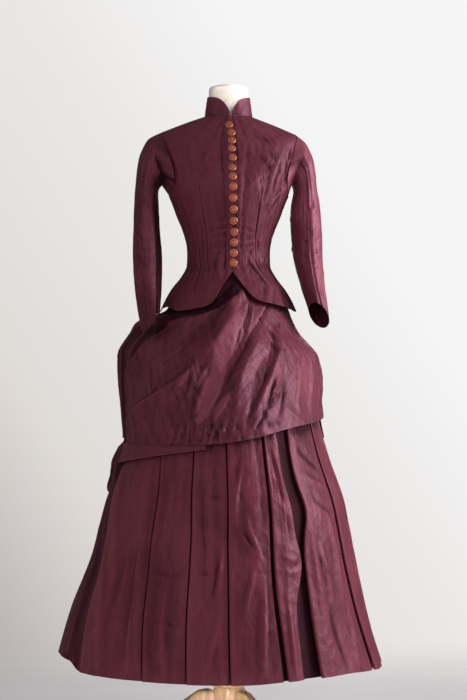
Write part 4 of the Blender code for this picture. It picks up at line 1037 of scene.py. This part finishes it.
# Darts, strain lines and soft puckers of the bodice.
BODICE_CREASES = measured([
    # a0, z0, a1, z1, a2, z2, left, right, rise
    (-31.8, 1455, -35, 1367, -35.6, 1245, 3, 3, -1.6),
    (-31.8, 1455, -37, 1367, -37.6, 1245, 6, 4, 0.7),
    (-50.6, 1290, -43.3, 1223, -32.8, 1150, 3, 3, -1.3),
    (27.3, 1440, 29.9, 1361, 35.9, 1268, 3, 3, -1.6),
    (29.3, 1440, 31.9, 1361, 37.9, 1268, 4, 6, 0.8),
    (51.5, 1460, 55, 1398, 66.7, 1300, 3, 4, -1.6),
    (18.8, 1485, 24.5, 1430, 31.8, 1390, 10, 8, 1.6),
    (-33.7, 1341, -18.1, 1344, -3.5, 1349, 4, 5, 1.3),
    (-32.7, 1330, -18.2, 1334, -6.2, 1337, 4, 4, -1.2),
    (-32.7, 1320, -16.2, 1326, -3.2, 1331, 4, 5, 1.3),
    (-34.9, 1300, -17.8, 1307, -3.9, 1311, 4, 6, 1.4),
    (-30.7, 1281, -16.5, 1284, -3.6, 1290, 4, 5, 1.2),
    (5.4, 1327, 17.5, 1324, 31.1, 1319, 4, 6, 1.3),
    (6.4, 1303, 18.8, 1302, 33.3, 1308, 4, 5, 1.3),
    (7.3, 1346, 17.8, 1341, 28.8, 1335, 4, 5, 1.2),
    (7.3, 1283, 17.8, 1286, 29.8, 1290, 4, 5, 1),
    (-14, 1276, -17.8, 1252, -13.4, 1216, 10, 18, 3.2),
    (42.6, 1205, 34.1, 1173, 26.1, 1150, 10, 14, 2.4),
    (24.9, 1262, 34.2, 1236, 40.5, 1205, 6, 14, 3),
    (40.4, 1530, 36.6, 1474, 36.6, 1406, 8, 12, 2.4),
    (51.5, 1505, 44.2, 1450, 43.9, 1384, 8, 10, 2.2),
    (24.2, 1570, 30.6, 1532, 40.4, 1499, 10, 12, 2),
    (12.8, 1612, 30.8, 1606, 51.8, 1589, 8, 14, 2.4),
    (10.8, 1598, 28.8, 1588, 46.8, 1570, 10, 10, -1.8),
    (-9.6, 1618, -8.4, 1500, -9, 1260, 12, 5, -1.4),
    (12.8, 1606, 9.4, 1450, 11.8, 1270, 6, 14, -1.4),
    (-63.9, 1545, -58.7, 1500, -62.8, 1450, 10, 12, -3),
    (58.3, 1550, 54.7, 1507, 60.3, 1450, 12, 10, -3),
    (60, 1440, 50, 1420, 40, 1380, 6, 8, 1.8),
    (64, 1420, 54, 1396, 46, 1360, 6, 6, 1.4),
    (-150, 1440, -152, 1360, -156, 1290, 8, 8, 1.4),
    (150, 1440, 152, 1360, 156, 1290, 8, 8, 1.4),
    (-172, 1330, -160, 1322, -146, 1328, 5, 6, 1.4),
    (172, 1312, 160, 1306, 146, 1310, 5, 6, 1.4),
    (-172, 1294, -160, 1290, -148, 1296, 5, 6, 1.2),
    (172, 1346, 162, 1350, 150, 1344, 5, 6, 1.2)], 0, 2, 4)

bodice_silk = taffeta("bodice_taffeta", (0.135, 0.024, 0.038), (0.190, 0.037, 0.056), 0.8, (70.0, 8.0), 4.0,
                       (0.60, 0.47))

NECK_SEAM = 1.625
CENTRE_HEM = 1.231            # height of the basque's hem at the centre front
LEVEL_END = 1.248             # down to here the panels' rows are level; below it they follow the lower edge


def gap_angle(height):
    """Half of a seam's gap as an angle at this height."""
    return np.degrees(0.0004 / along(BODY, height, 1))


def front_edge(height, side):
    """Angle where a front ends at the shoulder, the armhole or the side seam."""
    if height >= ARMHOLE[0, 0]:
        return side * (90.0 - gap_angle(height))
    if height >= ARMHOLE[-1, 0]:
        return side * along(ARMHOLE, height, 1)
    return side * (78.0 - gap_angle(height))


def back_edge(height, side):
    """Angle where a back ends at the shoulder, the armhole or the curved seam of the side panel."""
    if height >= ARMHOLE[0, 0]:
        return side * (90.0 + gap_angle(height))
    if height >= ARMHOLE[-1, 0]:
        return side * along(ARMHOLE, height, 2)
    curve = 104.0 + 32.0 * ramp(height, ARMHOLE[-1, 0], -0.162)
    return side * (curve + gap_angle(height))


def seamed(cols):
    """One over the face of a piece, falling to nothing at the seams on both sides."""
    return np.clip(np.arange(cols) / 3, 0, 1) * np.clip((cols - 1 - np.arange(cols)) / 3, 0, 1)


def panel(edges, bottom, cols, top, lift, seed):
    """Grid and shade of a bodice panel from the angles of its two edges and the height of its lower edge."""
    levels = np.linspace(top, LEVEL_END, int(112 * (top - LEVEL_END) / (NECK_SEAM - LEVEL_END)) + 2)
    rows, heights = [], []
    for height in levels:
        rows.append(np.linspace(*edges(height), cols))
        heights.append(np.full(cols, height))
    for share in np.linspace(0.0, 1.0, 32)[1:]:
        angle = np.linspace(*edges(LEVEL_END - share * 0.1), cols)
        rows.append(angle)
        heights.append(LEVEL_END + (bottom(angle) - LEVEL_END) * share)
    angle, height = np.array(rows), np.array(heights)
    rise = 1.3 * creases(BODICE_CREASES, angle, height, 0.0024)
    rise += 0.0008 * rumple(angle * 0.16, height * 26.0, seed)
    inset = seamed(cols)
    out = rise * (0.25 + 0.75 * inset) - 0.0006 * (1 - inset)
    spread = ramp(height, 1.215, -0.075) ** 1.5 * ramp(abs(angle), 75.0, -30.0)

    # The seams, the lap down the front, the whole left side and the left of the basque lie in shade.
    shade = 1.0 * (1 - inset) + 0.75 * hump(angle, 1.0, 4.5)
    turned = ramp(angle, 46.0, 14.0) * ramp(angle, 130.0, -20.0)
    shade = shade + 0.45 * ramp(angle, 12.0, 16.0)
    shade = shade + 2.2 * turned * ramp(height, 1.20, -0.04)
    return body(angle, height, out + 0.0060 * spread + lift(angle)), shade


def side_edge(height, side):
    """Angle where a side panel meets its back."""
    return side * (abs(back_edge(height, side)) - 2 * gap_angle(height))


def right_hem(angle):
    """The right front laps over the left, and its hem drops to a small corner beyond the centre."""
    return np.where(angle < 0, along(BASQUE, -angle, 1), CENTRE_HEM - 0.004 * angle)


def left_hem(angle):
    return np.where(angle > 0, along(BASQUE, angle, 2), CENTRE_HEM)


def lap(angle):
    """The right front is raised over the left one by a smooth step."""
    step = ramp(angle, -10, 6)
    return 0.0028 * step**2 * (3 - 2 * step)


def no_lap(angle):
    return 0.0


# The six panels: their two edges, lower edge, columns of points, top, lap and cut size.
PANELS = (
    ("bodice_front_right", lambda h: (front_edge(h, -1), 4.0), right_hem, 100, NECK_SEAM, lap, (0.24, 0.50)),
    ("bodice_front_left", lambda h: (-3.0, front_edge(h, 1)), left_hem, 100, NECK_SEAM, no_lap, (0.24, 0.50)),
    ("bodice_side_right", lambda h: (side_edge(h, -1), -78.0 - gap_angle(h)), basque_edge, 42, 1.427, no_lap,
     (0.10, 0.30)),
    ("bodice_side_left", lambda h: (78.0 + gap_angle(h), side_edge(h, 1)), basque_edge, 42, 1.427, no_lap,
     (0.10, 0.30)),
    ("bodice_back_right", lambda h: (-180.0 + gap_angle(h), back_edge(h, -1)), basque_edge, 70, NECK_SEAM,
     no_lap, (0.17, 0.50)),
    ("bodice_back_left", lambda h: (back_edge(h, 1), 180.0 - gap_angle(h)), basque_edge, 70, NECK_SEAM,
     no_lap, (0.17, 0.50)))
for number, (node, edges, bottom, cols, top, lift, flat) in enumerate(PANELS):
    grid, shade = panel(edges, bottom, cols, top, lift, 60 + number)
    piece = shell(node + "_silk", grid, bodice_silk, [node], shade=shade)

# ---- Standing collar ------------------------------------------------------------------------------
# A stiffened band of doubled taffeta stands on the neck seam. Its front corners are rounded away to the
# top button, and its edge is turned in and felled.

# Upper edge of the collar, the same on both sides.
COLLAR_TOP = measured([
    # angle, height
    (3, 1630), (12, 1647), (28, 1662), (60, 1671), (110, 1675), (180, 1676)], 0)

collar_silk = taffeta("collar_taffeta", (0.110, 0.019, 0.032), (0.152, 0.030, 0.048), 0.4, (60.0, 10.0), 5.0)
angle = np.linspace(3.0, 357.0, 200)[None, :]
turn = np.radians(angle)
share = np.linspace(1.0, 0.0, 22)[:, None]
base = NECK_SEAM + 0.0008 - 0.0040 * np.cos(turn) * abs(np.cos(turn))
height = base + (along(COLLAR_TOP, np.minimum(angle, 360 - angle), 1) - base) * share
# Half width and depth to front and back at the neck seam, and how much they change up to the edge.
half, front, back = 0.0600 - 0.0065 * share, 0.0500 + 0.0012 * share, 0.0560 - 0.0020 * share
out = 0.0004 * rumple(angle * 0.08, share * 3.0 + 0 * angle, 71)
deep = np.where(np.cos(turn) > 0, front, back) + out
grid = np.stack([(half + out) * np.sin(turn), AXIS_Y - deep * np.cos(turn), height], -1)
collar = shell("collar_band", grid, collar_silk, ["collar"], thick=0.0015)

# ---- Coat sleeves ---------------------------------------------------------------------------------
# Each sleeve is an upper and an under piece of taffeta, seamed at the front and the back of the arm and
# bent at the elbow. The head is eased into the armhole, and the wrist is faced and left open.

# Sections of each sleeve from the armhole to the wrist: the middle, the slope of the section in degrees, and
# its half widths across the arm and from the front to the back.
SLEEVE_RIGHT = measured([
    # x, y, z, slope, across, deep
    (-181, 2, 1508, 72, 62, 60),
    (-193.5, 0, 1486, 46, 44, 62),
    (-203, -1, 1447, 16, 30, 60),
    (-205, -2, 1400, 2, 30.5, 57),
    (-204.5, -5, 1340, 0, 32.5, 54),
    (-202.5, -12, 1270, 0, 36, 51),
    (-202, -38, 1200, 0, 33.5, 45),
    (-201, -69, 1150, 0, 28.5, 39),
    (-198, -108, 1103, 0, 21, 33)], 3)
SLEEVE_LEFT = measured([
    # x, y, z, slope, across, deep
    (173, 2, 1508, 72, 60, 60),
    (186, 0, 1486, 45, 38, 62),
    (192, -1, 1447, 14, 29, 60),
    (193, -2, 1400, 0, 36, 57),
    (195, -5, 1340, -2, 38.5, 54),
    (198, -12, 1270, -3, 36, 50),
    (208, -26, 1200, -6, 30, 45),
    (214, -38, 1160, -8, 28, 40),
    (220, -46, 1128, -8, 25.5, 37)], 3)

# Creases by the angle round the arm and the height: easing at the head, breaks at the elbow.
SLEEVE_CREASES = measured([
    # a0, z0, a1, z1, a2, z2, left, right, rise
    (78, 1370, 90, 1260, 106, 1140, 20, 20, 6),
    (84, 1530, 87, 1460, 94, 1400, 30, 30, -5),
    (108, 1372, 84, 1400, 46, 1418, 12, 10, -1.8),
    (40, 1560, 48, 1520, 52, 1460, 8, 8, 2),
    (68, 1560, 72, 1500, 70, 1420, 8, 10, 2.4),
    (20, 1560, 22, 1510, 20, 1450, 8, 8, 1.8),
    (96, 1480, 88, 1440, 80, 1380, 8, 12, 2.8),
    (112, 1400, 84, 1384, 50, 1404, 6, 10, 2.6),
    (120, 1350, 88, 1330, 40, 1352, 6, 12, 3.2),
    (124, 1318, 80, 1308, 34, 1330, 6, 6, -2.4),
    (116, 1288, 80, 1276, 30, 1286, 6, 10, 2.6),
    (50, 1300, 66, 1268, 84, 1252, 6, 6, 2),
    (44, 1252, 60, 1240, 76, 1242, 3, 5, 1.8),
    (70, 1230, 74, 1190, 70, 1150, 8, 12, 2.4),
    (26, 1220, 34, 1190, 34, 1150, 8, 8, 2),
    (200, 1380, 180, 1370, 150, 1384, 6, 10, 2.4),
    (210, 1310, 186, 1296, 154, 1306, 6, 10, 2.6),
    (-40, 1400, -20, 1390, 0, 1396, 6, 10, 2),
    (-50, 1330, -24, 1318, 4, 1326, 6, 10, 2.4),
    (-40, 1240, -16, 1232, 10, 1240, 6, 8, 1.8)], 0, 2, 4)

sleeve_silk = taffeta("sleeve_taffeta", (0.115, 0.021, 0.035), (0.215, 0.045, 0.070), 0.8, (60.0, 6.0), 6.0)


WRIST = {-1: 195.0, 1: 125.0}     # angle round each arm, right and left, where the wrist is cut highest
WRIST_SLANT = 0.027           # how much higher and lower the wrist is cut there and opposite
SEAM, VENT = 0.5, 5.0         # half widths in degrees of the seams and of the opening at the wrist
SLEEVE_ROWS = 130


def armhole_ring(side, turns):
    """Points lying over the edge of an armhole, starting at the shoulder and going round by the front."""
    count, centre = 40, 1.508
    heights = np.linspace(ARMHOLE[0, 0], ARMHOLE[-1, 0], count)
    angles = np.concatenate([along(ARMHOLE, heights, 1) - 5.0, along(ARMHOLE, heights[::-1], 2) + 4.0])
    heights = centre + (np.concatenate([heights, heights[::-1]]) - centre) * 1.04
    edge = body(side * angles, heights, 0.0020)
    run = np.concatenate([[0.0], np.cumsum(np.linalg.norm(np.diff(edge, axis=0), axis=1))])
    middle = (run[count - 1] + run[count]) / 2
    share = np.where(turns < 180, turns / 180 * middle, middle + (turns - 180) / 180 * (run[-1] - middle))
    return np.stack([np.interp(share, run, edge[:, k]) for k in range(3)], -1)


def eased(rows, count):
    """Rows between the given ones on a smooth curve through them, keeping their spacing."""
    rows = np.array(rows)
    run = np.concatenate([[0.0], np.cumsum(np.linalg.norm(np.diff(rows, axis=0), axis=2).mean(1))])
    before = np.concatenate([rows[:1], rows[:-1]])
    after = np.concatenate([rows[1:], rows[-1:]])
    span = np.concatenate([run[1:], run[-1:]]) - np.concatenate([run[:1], run[:-1]])
    slopes = (after - before) / np.maximum(span, 1e-9)[:, None, None]
    out = []
    for t in np.linspace(0.0, run[-1], count):
        i = min(np.searchsorted(run, t, side="right") - 1, len(run) - 2)
        gap = run[i + 1] - run[i]
        out.append(smooth((t - run[i]) / gap, gap, rows[i:i + 2], slopes[i:i + 2]))
    return np.array(out)


def sleeve(side, table, low, high, cols, seed):
    """Grid and shade of a sleeve piece: rows from the armhole to the wrist between its two seams."""
    spread = np.column_stack([np.arange(len(table), dtype=float), table])
    last = len(table) - 1.0
    turns = np.linspace(low + SEAM, high - SEAM, cols)
    rows, phis = [armhole_ring(side, turns % 360)], [turns]
    for t in np.concatenate([[0.0, 0.5], np.arange(1.0, last + 1)]):
        x, y, z, slope, across, deep = (along(spread, t, k) for k in range(1, 7))
        vent = VENT * ramp(t / last, 0.86, 0.14)
        phi = np.linspace(low + SEAM + vent * (low > 0), high - SEAM - vent * (low < 0), cols)
        a, tilt = np.radians(phi), np.radians(slope)
        lift = WRIST_SLANT * np.cos(a - np.radians(WRIST[side])) * ramp(t - last, -2, 2)
        rows.append(np.stack([x + side * across * np.cos(a) * np.cos(tilt), AXIS_Y + y - deep * np.sin(a),
                              z + across * np.cos(a) * np.sin(tilt) + lift], -1))
        phis.append(phi)
    grid = eased(rows, SLEEVE_ROWS)
    phi = eased(np.array(phis)[:, :, None], SLEEVE_ROWS)[:, :, 0]
    height = grid[:, :, 2]
    if side < 0:
        # The right sleeve is smooth, with painted shade throughout and more on its under piece below the
        # armhole.
        folds, crumple = 0.30, 0.0004
        shade = 0.7 + 1.0 * ramp(phi, 126.0, 8.0) * ramp(height, 1.43, -0.05)
    else:
        # The left one breaks at the elbow; painted shade darkens its back from just above the elbow down, and
        # painted light brightens its front.
        folds, crumple = 1.0, 0.0009
        shade = 1.9 * ramp(phi, 86.0, 5.0) * ramp(height, 1.37, -0.03) - 1.8 * ramp(phi, 2.0, 40.0)
    rise = folds * creases(SLEEVE_CREASES, phi, height, 0.0009, 0.02)
    rise += crumple * rumple(phi * 0.06, height * 20.0, seed)
    inset = seamed(cols)
    rise = rise * inset * np.clip(np.arange(SLEEVE_ROWS) / 11, 0, 1)[:, None]
    # Painted shade along both seams.
    shade = shade + 0.7 * (1 - inset)
    grid = grid - side * normals(grid, False) * rise[:, :, None]
    return grid[:, ::-side], shade[:, ::-side]      # columns in the order that faces the cloth outwards


# The upper piece goes 224 degrees round the arm and the under piece takes the rest, from the back seam on.
for side, table, seam, word in ((-1, SLEEVE_RIGHT, 124.0, "right"), (1, SLEEVE_LEFT, 88.0, "left")):
    for half, low, high, cols, lined, flat in (
            ("upper", seam - 224.0, seam, 90, sleeve_silk, (0.20, 0.52)),
            ("under", seam, seam + 136.0, 60, lining, (0.12, 0.44))):
        grid, shade = sleeve(side, table, low, high, cols, 85 + int(seam))
        piece = shell(f"sleeve_{half}_{word}_silk", grid, sleeve_silk,
                      [f"sleeve_{half}_{word}"], lined=lined, shade=shade)

# ---- Buttons and buttonholes ----------------------------------------------------------------------
# Fifteen domed buttons are stamped from copper sheet with a raised rim, a ring of beads and a six-petalled
# rosette, darkened in the hollows. Each passes through a corded buttonhole, worked over in dark silk twist.

copper, start, shader = finish("stamped_copper", Metallic=0.75, Specular_IOR_Level=0.5)
place = start.place()
hollow = start.node("UVMap", {"uv_map": "relief"}, {})
worn = hollow.node("SeparateXYZ", {}, {"Vector": hollow}, 1) + (place.noise(180.0, 3.0) - 0.5) * 0.35
dress(shader, start, worn.between(-0.1, 0.45).colours((0.25, 0.062, 0.036), (0.93, 0.31, 0.17)),
      worn.between(0.0, 0.8, 0.60, 0.42), place.noise(900.0, 2.0), 0.00006)


def button(node):
    """A domed button with a raised rim and a rosette, in the place and at the tilt of its solid."""
    points = np.array([v.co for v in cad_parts[node].data.vertices])
    points = np.unique(points.round(6), axis=0)
    centre = points.mean(0)
    axes = np.linalg.svd(points - centre)[2]
    out = axes[2] * np.sign(-axes[2][1])
    across = np.cross(out, (0.0, 0.0, 1.0))
    across /= np.linalg.norm(across)
    up = np.cross(across, out)
    depth = (points - centre) @ out
    floor, top = depth.min(), depth.max()
    radius = np.linalg.norm((points - centre) - np.outer(depth, out), axis=1).max()
    sides = 48
    t = np.radians(np.arange(sides) * 360.0 / sides)[None, :]
    r = np.linspace(0.02, 1.0, 22)[:, None]
    petals = 0.5 + 0.5 * np.cos(6 * t + 3.0 * r)
    rosette = hump(r, 0.42, 0.17) * petals
    boss = hump(r, 0.0, 0.14)
    rim = hump(r, 0.89, 0.060)
    beads = hump(r, 0.72, 0.050) * (0.5 + 0.5 * np.cos(24 * t))
    dome = 0.72 * np.sqrt(np.clip(1 - (r / 1.05) ** 2, 0, 1))
    relief = np.clip(0.55 * rosette + 0.8 * boss + 0.95 * rim + 0.40 * beads, 0, 1)
    level = floor + (top - floor) * np.clip(dome + 0.20 * relief, 0, 1)
    rings = centre + out * level[..., None] + radius * r[..., None] * (
        across * np.cos(t)[..., None] + up * np.sin(t)[..., None])
    rim_low = rings[-1] + out * (floor - level[-1])[:, None]
    back = centre + out * floor + (rim_low - centre - out * floor) * 0.4
    worn = np.concatenate([relief, 0.35 + 0 * t, 0 * t])
    piece = closed_form(node + "_stamped", np.concatenate([rings, rim_low[None], back[None]]), copper)
    layer = piece.data.uv_layers.new(name="relief")
    loops = np.zeros(len(piece.data.loops), np.int32)
    piece.data.loops.foreach_get("vertex_index", loops)
    layer.data.foreach_set("uv", np.stack([t.ravel()[loops % sides] / 6.3, worn.ravel()[loops]], -1).ravel())
    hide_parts(node)
    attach(piece, "root")
    return centre + out * floor, out, across, up


twist, start, shader = finish("dark_silk_twist", Specular_IOR_Level=0.5, Sheen_Weight=0.2)
place = start.place()
ply = place.stretched((1400.0, 300.0, 300.0), (0.0, 0.5, 0.0)).noise(1.0, 1.0)
dress(shader, start, ply.between(0.3, 0.7).colours((0.018, 0.005, 0.009), (0.050, 0.012, 0.020)),
      ply.between(0.2, 0.8, 0.62, 0.45), ply, 0.0002)

# Each buttonhole is a ring of cord: its half length and half height, the cord's radius and thickness, how
# far the whole sits to the side of the button, and how far the stitches stand out.
HOLE_LONG, HOLE_TALL, CORD, CORD_DEEP, HOLE_ASIDE, STITCH = 0.0125, 0.0017, 0.0008, 0.0005, 0.0045, 0.00012
HOLE_COLS, HOLE_ROWS = 36, 9
turn = np.radians(np.arange(HOLE_COLS) * 360.0 / HOLE_COLS)[None, :, None]
roll = np.radians(np.arange(HOLE_ROWS) * 360.0 / HOLE_ROWS)[:, None, None]
points, faces = [], []
for number in range(1, 16):
    seat, out, across, up = button(f"button_{number:02d}")
    wide, tall = HOLE_LONG + CORD * np.cos(roll), HOLE_TALL + CORD * np.cos(roll) + STITCH * np.cos(turn * 18)
    loop = (seat + across * (wide * np.cos(turn) - HOLE_ASIDE) + up * tall * np.sin(turn)
            + out * (-0.0001 + CORD_DEEP * np.sin(roll)))
    corners = quads(HOLE_ROWS, HOLE_COLS, down=True)[:, [0, 3, 2, 1]]
    faces.append(corners + len(points) * HOLE_ROWS * HOLE_COLS)
    points.append(loop.reshape(-1, 3))
mesh = bpy.data.meshes.new("buttonhole_stitches")
mesh.from_pydata(np.concatenate(points).tolist(), [], np.concatenate(faces).tolist())
mesh.materials.append(twist)
mesh.shade_smooth()
holes = placed("buttonhole_stitches", mesh)
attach(holes, "root")

# ---- Studio ---------------------------------------------------------------------------------------
# A pale floor fades into a pale wall, which the camera sees with painted shade, darker to the left and
# towards the bottom. A large soft light stands at the viewer's right, a weak fill on the left, one behind,
# and two small lamps on the neck and the hub. The camera stands at waist height.

floor_paint, start, shader = finish("pale_floor", Roughness=0.8, Specular_IOR_Level=0.2)
place = start.place()
far = place.node("VectorMath", {"operation": "LENGTH"}, {0: place}, 1)
dress(shader, start, place.noise(3.0, 3.0).between(0.3, 0.7).colours((0.74, 0.73, 0.72), (0.78, 0.77, 0.76)))
clear = start.node("BsdfTransparent", {}, {})
painted = Socket(start.tree, shader.outputs[0])
fading = start.node("MixShader", {}, {0: far.between(1.3, 2.8), 1: painted, 2: clear})
start.tree.links.new(fading.output, start.tree.nodes["Material Output"].inputs["Surface"])
FLOOR_RADIUS, FLOOR_LEVEL = 3.0, -0.0005
turn = np.radians(np.arange(96) * 360.0 / 96)
mesh = bpy.data.meshes.new("floor")
mesh.from_pydata([(FLOOR_RADIUS * np.cos(t), FLOOR_RADIUS * np.sin(t), FLOOR_LEVEL) for t in turn], [],
                 [list(range(len(turn)))])
mesh.materials.append(floor_paint)
floor = placed("floor", mesh)

world = bpy.data.worlds.new("studio")
bpy.context.scene.world = world
world.use_nodes = True
start = Socket(world.node_tree)
ray = start.node("TexCoord", {}, {}, 0)
side, behind, rise = (start.node("SeparateXYZ", {}, {"Vector": ray}, k) for k in range(3))
# The wall that the camera sees carries painted shade, darker to the left and towards the bottom; other rays
# get the dimmer studio light.
wall = start.node("ValToRGB", {"stops": ((0.0, (0.33, 0.31, 0.30)), (0.18, (0.49, 0.46, 0.445)),
                                         (0.41, (0.74, 0.705, 0.68)), (0.74, (0.82, 0.80, 0.785)),
                                         (1.0, (0.914, 0.914, 0.922)))},
                  {"Fac": (side * 1.5 + rise) * 1.4286 + 0.4286})
light = side.between(-1.0, 1.0).colours((0.22, 0.20, 0.205), (0.36, 0.36, 0.38))
light = behind.between(-0.2, 0.8).colours(light, (0.10, 0.07, 0.078))
seen = start.node("LightPath", {}, {}, 0).colours(light, wall)
world.node_tree.links.new(seen.output, world.node_tree.nodes["Background"].inputs["Color"])

# Lamps: where they hang, what they point at, diameter, watts, spread in degrees and colour.
for name, spot, aim, size, power, spread, tone in (
        ("window", (3.25, -0.75, 1.9), (0.0, 0.0, 0.95), 1.7, 110.0, 180.0, (1.0, 0.965, 0.995)),
        ("fill", (-3.0, -3.4, 1.6), (0.0, 0.0, 0.9), 4.0, 25.0, 180.0, (1.0, 0.95, 0.93)),
        ("low", (-0.2, -2.0, 0.05), (0.0, -0.09, 0.13), 0.12, 0.165, 12.0, (1.0, 0.97, 0.94)),
        ("neck", (0.1, -3.0, 2.0), (0.010, -0.06, 1.712), 0.05, 0.040, 3.4, (1.0, 0.98, 0.95)),
        ("back", (0.5, 3.2, 1.4), (0.0, 0.1, 1.0), 1.6, 28.0, 180.0, (1.0, 1.0, 1.0))):
    lamp = bpy.data.lights.new(name, "AREA")
    lamp.shape, lamp.size, lamp.energy, lamp.color = "DISK", size, power, tone
    lamp.spread = np.radians(spread)
    held = placed(name, lamp)
    held.location = spot
    away = np.array(spot) - np.array(aim)
    held.rotation_euler = (np.arccos(away[2] / np.linalg.norm(away)), 0.0, np.arctan2(away[0], -away[1]))

lens = bpy.data.cameras.new("camera")
lens.lens, lens.sensor_width, lens.clip_end = 85.0, 36.0, 60.0
camera = placed("camera", lens)
camera.location = (-0.4163, -4.1308, 0.845)
camera.rotation_euler = (np.radians(92.77), 0.0, np.radians(-6.0))
bpy.context.scene.camera = camera
bpy.context.scene.view_settings.view_transform = "Standard"
